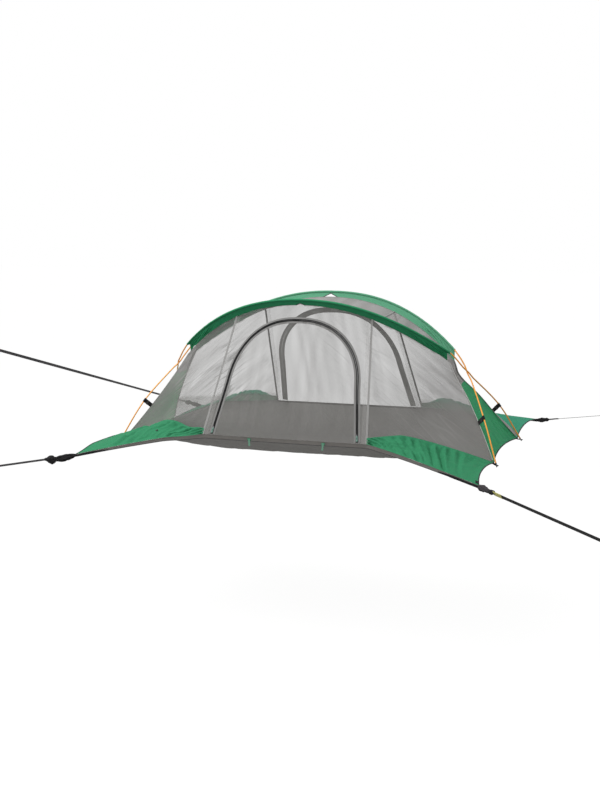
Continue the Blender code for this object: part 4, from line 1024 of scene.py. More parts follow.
def middleWall(seed):
    rings = np.linspace(0, 1, counts["rings"] + 1)[:, None, None]
    uv = mix(doorLine[None], frameLine[None], rings)
    grid = wallGrid(uv)
    t = np.broadcast_to(rings[..., 0], grid.shape[:2])
    place = grid[..., 0] + grid[..., 2] * 0.4 * np.sign(grid[..., 0])
    lines = creases(place, *netRows["middle"], seed)
    return netWrinkles(grid, lines, window(t, 0.4, 0.4), 0.0020, 0.14 * window(t, 0.2, 0.1))


# each run is (start, length) in metres, up the wall or along the tent
wallForm = {"lean": 0.80, "waver": 0.010, "depth": 0.0050, "lowRun": (0.05, 0.10),
            "highRun": (0.82, 0.40), "foldRun": (0.79, 0.12), "skirtRun": (0.20, 0.03),
            "foldShadeRun": (0.44, 0.16), "foldCalm": 0.75, "foldPaintedShade": 0.30, "skirtDense": 0.60,
            "skirtPaintedLight": 2.2}


def sideWall(seed, x, y):
    f = wallForm
    top, waist, foot = sideTop(sideShares), sideWaist(sideShares), sideFoot(sideShares)
    skirtShares = np.linspace(0, 1, counts["skirt"] + 1)[:-1, None, None]
    v = np.linspace(0, 1, counts["rows"] + 1)[:, None]
    upper = mix(waist[None], top[None], v[..., None])
    grid = np.concatenate([mix(foot[None], waist[None], skirtShares), upper])
    v = np.concatenate([skirtShares[..., 0] * 0.0, v])
    s = np.broadcast_to(sideShares[None], grid.shape[:2])
    v = np.broadcast_to(v, grid.shape[:2])
    along, height = grid[..., 0], grid[..., 2]
    place = height + f["lean"] * along + f["waver"] * softNoise(along * 5, height * 5, seed)
    lines = creases(place, *netRows["side"], seed)

    def rising(values, run):
        return ease((values - run[0]) / run[1])

    def falling(values, run):
        return ease((run[0] - values) / run[1])

    held = rising(height, f["lowRun"]) * falling(height, f["highRun"])
    nearFold = rising(along, f["foldRun"]) * (x < 0)
    skirt = falling(height, f["skirtRun"]) * (y < 0)
    pull = held * window(s, 0.03, 0.02) * mix(0.55, 1.0, ease(s / 0.3)) * pullShare[x, y]
    pull = pull * (1 - f["foldCalm"] * nearFold)
    first, run, most = netDense[x]
    dense = most * rising(along, (first, run)) * (y > 0) + f["skirtDense"] * skirt
    # pale: the skirt's net is made paler as painted light, and the net low beside the fold darker as painted
    # shade
    pale = f["skirtPaintedLight"] * skirt - f["foldPaintedShade"] * nearFold * falling(height, f["foldShadeRun"])
    fade = window(v, 0.05, 0.10) * window(s, 0.05, 0.03) * held
    return netWrinkles(grid, lines, fade, f["depth"], pull, dense, pale)


def roofNet(seed):
    middle = np.linspace(-tent["seamTopX"], tent["seamTopX"], 2 * counts["half"] + 1)
    shoulder = mix(tent["seamTopX"], tent["sleeveHalf"], np.linspace(0, 1, counts["shoulder"] + 1))[1:]
    t = foldShare * np.linspace(0, 1, counts["fold"] + 1)[1:counts["netFold"] + 1]
    right = np.concatenate([endSpots(ridgeLine(shoulder), np.zeros_like(shoulder), counts["across"]),
                            endSpots(foldLine(t), t, counts["across"])])
    left = (right * (-1, 1, 1))[::-1]
    top = endSpots(ridgeLine(middle), np.zeros_like(middle), counts["across"])
    grid = np.concatenate([left, top, right])
    s = np.broadcast_to(np.linspace(0, 1, len(grid))[:, None], grid.shape[:2])
    v = np.broadcast_to(np.linspace(0, 1, counts["across"] + 1)[None], grid.shape[:2])
    lines = creases(s + 0.012 * softNoise(s * 9, v * 4, seed), *netRows["roof"], seed)
    fade = window(v, 0.2, 0.2) * window(s, 0.03, 0.03)
    return netWrinkles(grid, lines, fade, 0.0026, 0.25, counts["thick"])


def canopyParts():
    parts = []
    for y, seed in ((1, 21), (-1, 33)):
        grid, marks = middleWall(seed)
        parts.append((hand(grid, 1, y), marks))
        for x in (-1, 1):
            grid, marks = sideWall(seed + x + 2, x, y)
            parts.append((hand(grid, x, y), marks))
    parts.append(roofNet(47))
    return [clothMesh(f"net_{k}", hollowed(grid), "canopyNet", (0, 0, 0.3), marks)
            for k, (grid, marks) in enumerate(parts)]


walls = [f"{side}_{part}_wall" for side in faceSigns for part in ("left", "middle", "right")]
canopy = piece(joined(canopyParts(), "netting_canopy", 0.0002), ["roof", *walls])
print("canopy:", len(canopy.data.polygons), "faces")


def doorNet(seed):
    count = len(doorLine) // 2
    left, right = doorLine[:count + 1], doorLine[::-1][:count + 1]
    shares = np.linspace(0, 1, 41)[None, :, None]
    uv = mix(left[:, None], right[:, None], shares)
    uv = uv * (0.9985, 1)
    grid = wallGrid(uv)
    v = np.broadcast_to(np.linspace(0, 1, count + 1)[:, None], grid.shape[:2])
    s = np.broadcast_to(shares[..., 0], grid.shape[:2])
    q = grid[..., 0] + 0.012 * softNoise(grid[..., 0] * 5, grid[..., 2] * 2, seed)
    lines = creases(q, *netRows["door"], seed)
    pull = 0.30 * ease(s * 2.2 - 1.1) * window(s, 0.1, 0.06) * window(v, 0.2, 0.1)
    return netWrinkles(grid, lines, window(v, 0.12, 0.10) * window(s, 0.10, 0.10), 0.0026, pull)


for side, y in faceSigns.items():
    grid, marks = doorNet(60 + y)
    grid = hand(grid, 1, y)
    grid[0, :, 2] += 0.0006
    part = clothMesh("door", grid, "canopyNet", (0, 0, 0.3), marks)
    piece(joined([part], f"{side}_door_netting", 0.0001), [f"{side}_door"],
                        f"{side}_door_panel")
print("doors: 2")


# floor: a shallow tub that hangs from the edge bands

floorForm = {"middle": 16, "heel": 34, "across": 48, "fold": 0.0045, "crumple": 0.0030,
             "thickness": 0.0011, "soften": 40, "borderAt": 0.48, "borderRun": 0.09,
             "borderRow": (-1.2, 1.2, 44, 0.016), "longRow": (-0.5, 0.5, 9, 0.022),
             "slantRow": (-1.0, 1.3, 22, 0.018), "borderShare": 0.7, "slantShare": 0.5,
             "coarseShare": 0.6, "fineCrumple": 0.0009}


def floorColumns():
    s = floorForm
    xs = np.linspace(0, tent["seamFootX"] - 0.0015, s["middle"] + 1)
    borderY = -(tent["edgeY"] - 0.0016)
    middle = spots(xs, borderY, tent["edgeZ"] - tent["floorTuck"])
    side = sideFoot(np.linspace(0, 1, s["heel"] + 1), 0.0021)
    border = np.concatenate([middle, side, heel[None]])
    share = np.clip((border[:, 0] - tent["seamFootX"]) / (heel[0] - tent["seamFootX"]), 0, 1) ** 3
    belly = mix(tent["bellyZ"], heel[2] + tent["endScallop"][1], share)
    return acrossSpots(-border[:, 1], border[:, 0], border[:, 2], s["across"],
                       -tent["endScallop"][0] * share, belly - border[:, 2],
                       mix(tent["bellyFullness"], 2.0, share))


def makeFloor():
    s = floorForm
    right = floorColumns()
    grid = np.concatenate([(right * (-1, 1, 1))[:0:-1], right])
    v = np.broadcast_to(np.linspace(0, 1, grid.shape[1])[None], grid.shape[:2])
    u = np.broadcast_to(np.linspace(0, 1, len(grid))[:, None], grid.shape[:2])
    hold = window(v, 0.16, 0.16)[1:-1, :, None] * 0.5
    for _ in range(s["soften"]):
        grid[1:-1] = mix(grid[1:-1], (grid[2:] + grid[:-2]) / 2, hold)
    x, y = grid[..., 0], grid[..., 1]
    border = creases(x + 0.02 * softNoise(x * 8, y * 8, 5), *s["borderRow"], 71)
    border = border * np.exp(-((np.abs(y) - s["borderAt"]) / s["borderRun"]) ** 2)
    border = border * s["fold"] * s["borderShare"]
    middle = creases(y + 0.05 * softNoise(x * 3, y * 3, 6), *s["longRow"], 72) * s["fold"]
    diagonal = creases(x * 0.7 + np.abs(y) * 0.8, *s["slantRow"], 73) * s["fold"] * s["slantShare"]
    crumple = (softNoise(x * 14, y * 14, 74) * s["crumple"] * s["coarseShare"]
               + softNoise(x * 34, y * 30, 75) * s["fineCrumple"])
    fade = window(v, 0.10, 0.10) * window(u, 0.04, 0.04)
    grid = ripple(grid, (border + middle + diagonal + crumple) * fade)
    return piece(thick(clothMesh("floor_tub", settled(grid), "floorNylon", (0, 0, 5.0)), s["thickness"]),
                 ["floor"])


floorTub = makeFloor()
print("floor: 1")


# end panels, pleated towards the ground

endForm = {"rows": 60, "across": 96, "pleat": 0.0105, "thickness": 0.0011,
           "pleatRow": (0.02, 0.98, 12, 0.022), "slantRows": ((0.1, 1.2, 8, 0.026), (-0.2, 0.9, 8, 0.026)),
           "slantLean": 0.25, "slantShare": 0.30}


def makeEnd(name, x):
    s = endForm
    t = foldShare * np.linspace(tent["netEnd"], 1, s["rows"] + 1)
    line = np.concatenate([foldLine(t), heel[None]])
    t = np.append(t, 1.0)
    grid = endSpots(line, t, s["across"])
    v = np.broadcast_to(((t - t[0]) / (t[-1] - t[0]))[:, None], grid.shape[:2])
    u = np.broadcast_to(np.linspace(0, 1, s["across"] + 1)[None], grid.shape[:2])
    lines = creases(u + 0.014 * softNoise(u * 6, v * 3, 81), *s["pleatRow"], 82 + x)
    lean, (oneWay, otherWay) = s["slantLean"] * v, s["slantRows"]
    slant = creases(u + lean, *oneWay, 84 + x) + creases(u - lean, *otherWay, 86 + x)
    height = (lines * mix(0.35, 1.0, v) + s["slantShare"] * slant) * window(u, 0.08, 0.08)
    height = height * ease(v / 0.12) * (1 - 0.55 * ease((v - 0.9) / 0.1))
    grid = hand(ripple(grid, height * s["pleat"]), x)
    # the end cloth's paler green is painted light
    made = clothMesh(f"{name}_end_cloth", hollowed(grid), "endTaffetaPaintedLight", (0, 0, 0.2))
    return piece(thick(made, s["thickness"]), [f"{name}_end_panel"])


endCloths = [makeEnd("left", -1), makeEnd("right", 1)]


# corner wings between the wall, the edge band and the corner

wingForm = {"along": 130, "down": 34, "lap": 0.0021, "rise": 0.0009, "pleat": 0.0175, "drape": 0.0120,
            "thickness": 0.0011, "billow": {1: 0.0, -1: 0.046}, "scallop": (0.026, 0.017),
            # the back wings' paler finish is painted light
            "slack": {1: 1.0, -1: 0.45}, "finish": {1: "greenTaffeta", -1: "backTaffetaPaintedLight"},
            "pleatRow": (-0.20, 0.66, 10, 0.020), "dragRow": (0.2, 1.7, 8, 0.070),
            "foldRow": (0.22, 0.86, 6, 0.024), "dragShare": 0.8, "foldShare": 0.8, "fineShare": 0.12}


def wingGrid():
    s = wingForm
    u = np.concatenate([np.linspace(0, 13 / 14, s["along"] - 5), np.linspace(13 / 14, 1, 6)[1:]])
    share = np.minimum(u * 14 / 13, 1)
    root = wingRoot(foldShare * share)
    way = tangents(root[:s["along"] - 5])
    out = unit(np.stack([way[:, 1], -way[:, 0], way[:, 0] * 0], -1))
    root[:len(out)] += out * s["lap"]
    last = heel + np.array((0.6, -0.8, 0)) * s["lap"]
    tail = np.linspace(0, 1, 6)[1:, None]
    root[len(out):] = mix(root[len(out) - 1], last, tail)
    rise = upward * s["rise"]
    foot = edgeLine(mix(tent["seamFootX"] + 0.0003, corner[0], u)) + rise
    v = np.linspace(0, 1, s["down"] + 1)
    bow = 1 - np.abs(2 * v - 1) ** 2.2
    inward, up = s["scallop"]
    outer = mix(heel, corner, v[:, None]) + np.stack([-inward * bow, 0 * bow, up * bow], -1)
    outer += (last - heel) * (1 - v)[:, None] + rise * v[:, None]
    inner = mix(root[0], foot[0], v[:, None])
    ruled = mix(root[None], foot[None], v[:, None, None])
    flat = mix(mix(root[0], foot[0], v[:, None])[:, None], mix(root[-1], foot[-1], v[:, None])[:, None],
               u[None, :, None])
    grid = ruled + mix(inner[:, None], outer[:, None], u[None, :, None]) - flat
    return grid, np.broadcast_to(u[None], grid.shape[:2]), np.broadcast_to(v[:, None], grid.shape[:2])


wingCloth = {}


def makeWing(name, x, y):
    s = wingForm
    grid, u, v = wingGrid()
    seed = 90 + 3 * x + y
    pleats = creases(u - 0.20 * v + 0.010 * softNoise(u * 9, v * 4, seed), *s["pleatRow"], seed + 1)
    pleats = pleats * ease((0.86 - u) / 0.45) * mix(1.0, 0.7, v)
    drags = v * 0.9 + 0.75 * u + 0.04 * softNoise(u * 3, v * 3, seed)
    drags = creases(drags, *s["dragRow"], seed + 2)
    fine = softNoise(u * 26, v * 11, seed + 3) * s["fineShare"]
    folds = creases(u - 0.13 * v + 0.012 * softNoise(u * 7, v * 3, seed + 5), *s["foldRow"], seed + 4)
    pleats = pleats + folds * ease((u - 0.16) / 0.2) * ease((0.90 - u) / 0.2) * s["foldShare"]
    height = pleats * s["pleat"] + (drags * s["dragShare"] + fine) * s["drape"] * ease(u / 0.35)
    height = height * window(u, 0.02, 0.05) * ease(v / 0.14) * ease((1 - v) / 0.16) * s["slack"][y]
    grid = ripple(grid, height)
    grid[..., 2] += s["billow"][y] * np.sin(np.pi * v ** 0.8) * window(u, 0.22, 0.75)
    grid = wingCloth[name] = settled(hand(grid, x, y))
    made = clothMesh(f"{name}_wing_cloth", grid, s["finish"][y], (0, 0, -5.0))
    return piece(thick(made, s["thickness"]), [f"{name}_wing"])


wings = [makeWing(f"{side}_{way}", x, y) for side, y, way, x in quarters]
print("ends and wings:", len(endCloths) + len(wings))


# edge bands, with a dark cord sewn into the lower edge

bandForm = {"steps": 150, "thickness": 0.0015, "cord": 0.0016, "wrapHalf": 0.0070,
            "wrapFrom": {"left": 1.05, "right": 0.98}}


def makeBand(name, y):
    s = bandForm
    x = np.linspace(-corner[0], corner[0], s["steps"] + 1)
    top = edgeLine(x)
    reach = np.clip((np.abs(x) - tent["seamFootX"]) / (corner[0] - tent["seamFootX"]), 0, 1)
    height = mix(tent["bandHeight"], tent["bandTip"], reach)
    rows = top[None] - upward * (height[None] * np.linspace(0, 1, 7)[:, None])[..., None]
    rows = ripple(rows, 0.0008 * softNoise(x[None] * 22, np.linspace(0, 3, 7)[:, None], 101 + y)
                  * np.ones((7, 1)))
    rows = settled(hand(rows, 1, y))
    band = piece(thick(clothMesh(f"{name}_band_webbing", rows, "bandNylon", (0, 0, 0.1)), s["thickness"]),
                 [f"{name}_edge_band"])
    out = np.array((0, -y, 0.0))
    cord = tube(f"{name}_band_cord", rows[-1] + out * 0.0002, s["cord"], "darkPiping", sides=8)
    sewn = stitches(f"{name}_band_stitches", rows[1], out, lift=0.0012)
    extras = [piece(cord), piece(sewn)]
    for label, side in (("left", x < -s["wrapFrom"]["left"]), ("right", x > s["wrapFrom"]["right"])):
        spread = 0.2 + 0.8 * ease((np.abs(x[side]) - s["wrapFrom"][label]) / 0.10)
        half = spread[:, None] * s["wrapHalf"]
        for k, face in enumerate((1, -1)):
            wrap = strip(f"{name}_{label}_band_wrap_{k}", rows[4][side], out * face, -half, half,
                         lift=0.0014, thickness=0.0008, finish="blackWebbing")
            extras.append(piece(wrap))
    return band, extras


bands = {side: makeBand(side, y) for side, y in faceSigns.items()}


# pole sleeves: a web from the ridge up to a tube round the pole, notched at the apex

sleeveForm = {"steps": 260, "radius": 0.0066, "thickness": 0.0008, "web": 22, "turn": 16,
              "ruffle": 0.0060, "notch": {1: (0.030, 0.010), -1: tent["notch"]},
              # the back sleeve's paler finish is painted light
              "finish": {1: "sleeveTaffeta", -1: "backSleevePaintedLight"}, "slant": 7.0, "overlap": 0.0035,
              "endCut": 0.28, "endSlant": 0.018, "ruffleRow": (-4.3, 3.0, 21, 0.11)}


def makeSleeve(name, y):
    s = sleeveForm
    half, notchUp = s["notch"][y]
    x = np.unique(np.concatenate([np.linspace(-tent["sleeveHalf"], tent["sleeveHalf"], s["steps"]),
                                  np.linspace(-half, half, 25)]))
    centre, foot = poleLine(x), ridgeLine(x)
    lift = np.maximum(1 - np.abs(x) / half, 0)[:, None] * (notchUp + s["overlap"]) - s["overlap"]
    toTube = unit(centre - foot)
    foot = foot + toTube * lift

    def towardsEnd(first):
        return ease((np.abs(x) - first) / (tent["sleeveHalf"] - first))

    foot = foot + (centre - foot) * (s["endCut"] * towardsEnd(0.76)[:, None]) * (y > 0)
    foot[:, 0] -= np.sign(x) * s["endSlant"] * towardsEnd(0.80) * (y > 0)
    way = tangents(centre)
    side = unit(np.cross(way, toTube))
    reach = np.linalg.norm(centre - foot, axis=-1, keepdims=True)
    ends = 0.12 + ease((np.abs(x) - 0.56) / 0.16)[:, None]
    ends = ends * (0.3 + 0.7 * ease((tent["sleeveHalf"] - np.abs(x)) / 0.02))[:, None]

    def ruffles(t):
        place = t + (np.abs(x) - 0.6) * s["slant"] + 0.25 * softNoise(x * 9, x * 0 + t * 2, 113 + y)
        return creases(place, *s["ruffleRow"], 110 + y)[:, None] * ends

    def webRow(k, face):
        t = k / s["web"]
        waver = math.sin(math.pi * min(t * 1.15, 1)) * s["ruffle"] * ruffles(t)
        return foot + toTube * (reach - s["radius"] * 0.93) * t + side * (0.0005 * face + waver)

    rows = [webRow(k, 1) for k in range(s["web"] + 1)]
    radius = s["radius"] * (1 + 0.10 * ruffles(1.1) + 0.05 * softNoise(x * 40, x * 0, 5)[:, None])
    for k in range(s["turn"] + 1):
        angle = mix(math.radians(160), math.radians(-160), k / s["turn"])
        rows.append(centre + toTube * (math.cos(angle) * radius) + side * (math.sin(angle) * radius))
    rows += [webRow(k, -1) for k in range(s["web"], -1, -1)]
    grid = settled(hand(np.stack(rows), 1, y))
    made = piece(thick(clothMesh(f"{name}_sleeve_cloth", grid, s["finish"][y]), s["thickness"]),
                 [f"{name}_pole_sleeve"])
    extras = []
    seamLine = hand(foot + toTube * (reach - s["radius"] * 1.5), 1, y)
    for k, face in enumerate((1, -1)):
        out = hand(side * face, 1, y)
        sewn = stitches(f"{name}_sleeve_stitches_{k}", seamLine, out, lift=0.0014,
                        finish="greenThread", seed=7 + k)
        extras.append(piece(sewn))
    for k, at in enumerate((0, -1)):
        ring = hand(np.stack([r[at] for r in rows[s["web"] + 1:s["web"] + 2 + s["turn"]]]), 1, y)
        extras.append(piece(tube(f"{name}_sleeve_hem_{k}", ring, 0.0011, "greyBinding", sides=8)))
    rim = hand((foot + toTube * 0.0006)[np.abs(x) <= half + 1e-6], 1, y)
    extras.append(piece(tube(f"{name}_notch_edge", rim, 0.0024, "darkPiping", sides=8)))
    return made, extras


sleeves = {side: makeSleeve(side, y) for side, y in faceSigns.items()}
print("bands and sleeves: 4")


# poles: an arch in each sleeve, and two bare legs that cross the other pole's

poleForm = {"radius": 0.0043, "ferrule": 0.050, "ferruleEvery": 0.42, "lip": 0.018}


def smoothCurve(knots, t):
    t = np.asarray(t, float)
    knots = np.concatenate([[2 * knots[0] - knots[1]], knots, [2 * knots[-1] - knots[-2]]])
    i = np.minimum(t.astype(int), len(knots) - 4)
    f = (t - i)[:, None]
    p0, p1, p2, p3 = (knots[i + k] for k in range(4))
    return p1 + 0.5 * ((p2 - p0) * f + (2 * p0 - 5 * p1 + 4 * p2 - p3) * f ** 2
                       + (3 * p1 - p0 - 3 * p2 + p3) * f ** 3)


def poleLeg(over):
    foot, clip = np.array(tent["foot"]), np.array(tent["clip"])
    knots = np.array([poleLine(tent["sleeveHalf"] * 0.86), poleLine(tent["sleeveHalf"]), tent["cross"],
                      clip, foot])
    outward = unit(np.array((-(clip - knots[1])[2], 0, (clip - knots[1])[0])))
    line = smoothCurve(knots, np.linspace(1.0, 3.8, 90))
    near = np.maximum(1 - np.linalg.norm(line - knots[2], axis=-1) / tent["crossSpread"], 0)[:, None]
    line = line + outward * over * (poleForm["radius"] + 0.00015) * near * near * (3 - 2 * near)
    way = unit(foot - line[-1])
    end = foot - way * 0.0129
    return np.concatenate([[poleLine(tent["sleeveHalf"] - tent["jointInset"])], line,
                           [mix(line[-1], end, k / 4) for k in range(1, 5)]]), way


def ferrules(line, first):
    run = runAlong(line)
    fine = np.linspace(0, run[-1], int(run[-1] / 0.004))
    line = resampled(line, run, fine)
    swell = np.ones(len(fine))
    for place in np.arange(first, run[-1], poleForm["ferruleEvery"]):
        inside = np.abs(fine - place) < poleForm["ferrule"] / 2
        swell = np.where(inside, 1.0 - poleForm["lip"], swell)
        swell = np.where(np.abs(np.abs(fine - place) - poleForm["ferrule"] / 2) < 0.003, 0.93, swell)
    return line, swell


def makePole(name, y, over):
    joint = tent["sleeveHalf"] - tent["jointInset"] - 0.0003
    arch, swell = ferrules(hand(poleLine(np.linspace(-joint, joint, 260)), 1, y), 0.3)
    rod = tube(f"{name}_pole_bow", arch, poleForm["radius"], "orangeAnodised", sides=16, swell=swell)
    piece(rod, [f"{name}_pole_arch"])
    leg, _ = poleLeg(over)
    for side, x in (("right", 1), ("left", -1)):
        line, swell = ferrules(settled(hand(leg, x, y)), 0.24)
        rod = tube(f"{name}_{side}_pole_rod", line, poleForm["radius"], "orangeAnodised", sides=16,
                   swell=swell)
        piece(rod, [f"{name}_pole_{side}_leg"])


makePole("front", 1, 1)
makePole("back", -1, -1)
print("poles: 6 pieces")


# seams, bindings and zips

trim = {"ribbon": 0.0060, "ribbonThick": 0.0007, "allowance": 0.034,
        "foldHalf": {"front": 0.0020, "back": 0.0085}, "piping": 0.0034, "binding": 0.019,
        # the back zips' paler binding is painted light
        "zipBinding": {1: "greyBinding", -1: "bindingPaintedLight"}, "tapeHalf": 0.0068, "tapeStart": 0.007,
        "toothEvery": 0.0024, "tooth": (0.0016, 0.0022, 0.0014)}


def uprightLoop(x):
    v = np.linspace(0, 1, 60)
    front = wallSpot(np.full_like(v, x), v)
    top = ridgeLine(x * tent["seamTopX"] / tent["seamFootX"])
    roof = endSpots(top[None], np.zeros(1), 40)[0]
    line = np.concatenate([front, roof[1:-1], hand(front[::-1], 1, -1)])
    out = unit(np.cross(tangents(line), np.array((-1.0, 0, 0))))
    return line, out


net = {"front": [], "back": [], "roof": []}


def sew(where, made):
    net[where].append(piece(made))


def sewUprights(label, x):
    line, out = uprightLoop(x * tent["seamFootX"])
    sew("roof", strip(f"{label}_upright_seam", line, out, -trim["ribbon"], trim["ribbon"],
                      lift=0.0008, thickness=trim["ribbonThick"], finish="seamBinding"))
    sew("roof", stitches(f"{label}_upright_stitches", line, out, lift=0.0015))
    v = np.linspace(0.004, 0.985, 50)
    for side, y in faceSigns.items():
        foot = hand(wallSpot(np.full_like(v, x * tent["seamFootX"]), v), 1, y)
        inner = hand(wallSpot(np.full_like(v, x * (tent["seamFootX"] - trim["allowance"])), v), 1, y)
        rows = mix(foot[None], inner[None], np.linspace(0.1, 1, 7)[:, None, None])
        rows = rows + np.array((0, y * 0.0012, -0.0006))
        sew(side, clothMesh(f"{side}_{label}_seam_allowance", rows, "seamNet", (0, 0, 0.3)))


def sewFoldFlap(at, x, y):
    t = np.linspace(0.60, 1, 40)
    flap = (0.003 + 0.019 * ease((t - 0.60) / 0.36))[:, None]
    lower = hollowed(hand(foldLine(foldShare * t), x, y))
    turned = -1 if unit(np.cross(tangents(lower), (0.0, -1.0, 0.0)))[0][0] * x < 0 else 1
    low, high = sorted((turned * flap, 0 * flap), key=np.sum)
    # the flap's paler binding is painted light
    sew("roof", strip(f"{at}_fold_flap", lower, np.array((0.15 * x, -0.75, 0.65)), low, high,
                      lift=0.0016, thickness=0.0007, finish="bindingPaintedLight"))


def sewCorner(side, y, label, x):
    at = f"{side}_{label}"
    fold = hand(foldLine(np.linspace(0, foldShare, 70)), x, y)
    out = unit(np.array((0.62 * x, -0.75 * y, 0.18)))
    half = trim["foldHalf"][side]
    # the fold seam's paler binding is painted light
    sew("roof", strip(f"{at}_fold_seam", hollowed(fold), out, -half, half, lift=0.0010,
                      thickness=0.0007, finish="bindingPaintedLight"))
    if side == "back":
        sewFoldFlap(at, x, y)
    grid, _, _ = wingGrid()
    scallop = settled(hand(grid[:, -1], x, y))
    sew(side, tube(f"{at}_wing_piping", scallop, trim["piping"], "darkPiping", sides=8))
    root = settled(hand(grid[0], x, y))
    sew(side, strip(f"{at}_wing_root", root, np.array((0, -0.7 * y, 0.7)), -0.0028, 0.0028,
                    lift=0.0006, thickness=0.0007, finish="greenTaffeta"))


def sewEnd(label, x):
    line = hand(endSpots(heel[None], np.ones(1), 60)[0], x)
    sew("roof", tube(f"{label}_end_piping", settled(line), trim["piping"], "darkPiping", sides=8))
    top = foldShare * tent["netEnd"]
    line = hand(endSpots(foldLine(np.array([top])), np.array([top]), 60)[0], x)
    sew("roof", strip(f"{label}_end_top_seam", hollowed(line), np.array((0.6 * x, 0, 0.8)), -0.004,
                      0.004, lift=0.0010, thickness=0.0007, finish="seamBinding"))


for label, x in handSigns.items():
    sewUprights(label, x)
for quarter in quarters:
    sewCorner(*quarter)
for label, x in handSigns.items():
    sewEnd(label, x)


def zipFrame():
    line = wallGrid(doorLine)
    inner, outer = wallGrid(doorLine * (0.97, 1.0)), wallGrid(mix(doorLine, frameLine, 0.2))
    out = unit(np.cross(tangents(line), outer - inner))
    out = out * np.where(out[:, 1:2] > 0, -1, 1)
    run = runAlong(line)
    fine = np.linspace(0, run[-1], 260)
    line, out = resampled(line, run, fine), unit(resampled(out, run, fine))
    return line, out


zipLine, zipOut = zipFrame()


def makeZip(side, y, part, face, body):
    at = f"{side}_{part}"
    line, out = hand(zipLine, 1, y), hand(zipOut, 1, y)
    ends = (trim["tapeStart"], trim["tapeStart"])
    near, far = sorted((face * y * 0.0007, face * y * trim["binding"]))
    extras = []
    for k, lift in enumerate((0.0007, -0.0007)):
        binding = strip(f"{at}_binding_{k}", line, out, near, far, lift, thickness=0.0006,
                        finish=trim["zipBinding"][y], ends=ends)
        extras.append(piece(binding, (), body))
    near, far = sorted((face * y * 0.0009, face * y * trim["tapeHalf"]))
    tape = strip(f"{at}_zip_tape", line, out, near, far, lift=0.0020, thickness=0.0009,
                 finish="blackZipTape", ends=ends)
    extras.append(piece(tape, [f"{at}_tape"], body))
    sideways = unit(np.cross(tangents(line), out))
    teeth = (line + sideways * (face * y * 0.0016) + out * 0.0029)[2:-2]
    teeth = beadsAlong(f"{at}_zip_teeth", teeth, out[2:-2], trim["toothEvery"], trim["tooth"],
                       "zipCoil", jitter=0.04, seed=9)
    extras.append(piece(teeth, (), body))
    return extras


for side, y in faceSigns.items():
    net[side] += makeZip(side, y, "wall", 1, "tent")
    makeZip(side, y, "door", -1, f"{side}_door_panel")
print("trims:", sum(map(len, net.values())))


# hooks: a webbing loop from the fold of the wall round the pole, with a plastic keeper

hookForm = {"width": 0.027, "thickness": 0.0018, "loop": 0.0062, "wrap": 155, "throat": 0.42,
            "spread": (0.0012, 0.0014), "keeper": (0.012, 0.0075, 0.030)}


def makeHook(name, x, y, over):
    s = hookForm
    leg, _ = poleLeg(over)
    clip = np.array(tent["clip"])
    k = int(np.argmin(np.linalg.norm(leg - clip, axis=-1)))
    centre, way = leg[k], unit(leg[k + 1] - leg[k - 1])
    sewn = hand(foldLine(np.array([tent["clipShare"]]))[0], 1, -1) + np.array((0.0012, 0.0008, 0.0006))
    toPole = centre - sewn
    toPole = toPole - way * toPole.dot(way)
    reach, toPole = np.linalg.norm(toPole), unit(toPole)
    side = np.cross(way, toPole)
    base = centre - toPole * reach
    wrap = math.radians(s["wrap"])
    turn = np.linspace(wrap, -wrap, 22)
    loop = [centre + (toPole * math.cos(a) + side * math.sin(a)) * s["loop"] for a in turn]
    neck, (apart, apartHalfway) = s["loop"] * s["throat"], s["spread"]
    halfway, throat = mix(base, centre, 0.5), centre - toPole * s["loop"]
    line = [base + side * apart, halfway + side * apartHalfway, throat + side * neck, *loop,
            throat - side * neck, halfway - side * apartHalfway, base - side * apart]
    rows = np.stack([np.array(line) + way * (s["width"] * t) for t in np.linspace(-0.5, 0.5, 9)])
    tab = clothMesh(f"{name}_hook_tab", settled(hand(rows, x, y)), "blackWebbing")
    piece(thick(tab, s["thickness"], 0.0003), [f"{name}_clip"])
    depth, rise, width = s["keeper"]
    middle = mix(base, centre, 0.52)
    box = roundedBox(width, rise, 0.0022, 4)
    rings = [middle + toPole * t + (way * box[:, :1] + side * box[:, 1:]) * grow
             for t, grow in ((-depth / 2, 0.84), (-depth / 2 + 0.0012, 1.0), (depth / 2 - 0.0012, 1.0),
                             (depth / 2, 0.84))]
    piece(loft(f"{name}_hook_keeper", settled(hand(np.stack(rings), x, y)), "blackPlastic"))


for y, foot, over in ((1, "back", 1), (-1, "front", -1)):
    for label, x in (("right", 1), ("left", -1)):
        makeHook(f"{foot}_{label}", x, y, over)
print("hooks: 4")


# what is sewn to the front wings, and the toggles below the front edge

def cornerTab(grid, rows, columns):
    patch = grid[slice(*rows), slice(*columns)]
    lift = gridNormals(patch) * 0.0022
    tabs = []
    for k, face in enumerate((1, -1)):
        tab = clothMesh(f"front_right_corner_tab_{k}", patch + lift * face, "blackWebbing")
        tabs.append(piece(thick(tab, 0.0020)))
    return tabs


def wingEyelet(grid, row, column):
    middle, out = grid[row, column], gridNormals(grid)[row, column]
    along = unit(grid[row, column + 1] - grid[row, column])
    sideways = np.cross(out, along)
    turn = np.linspace(0, 2 * np.pi, 25)[:, None]
    ring = middle + (along * np.cos(turn) + sideways * np.sin(turn)) * 0.0062
    return piece(tube("front_left_wing_eyelet", ring, 0.0021, "blackPlastic", sides=10))


wingExtras = {"front_right": cornerTab(wingCloth["front_right"], (31, 34), (-3, None)),
              "front_left": [wingEyelet(wingCloth["front_left"], 21, 57)]}

toggleForm = {"half": (0.0085, 0.0062, 0.0050, 0.0058, 0.0052), "curl": 0.0026, "crown": 0.0006,
              "thickness": 0.0016, "patch": (0.020, 0.013)}


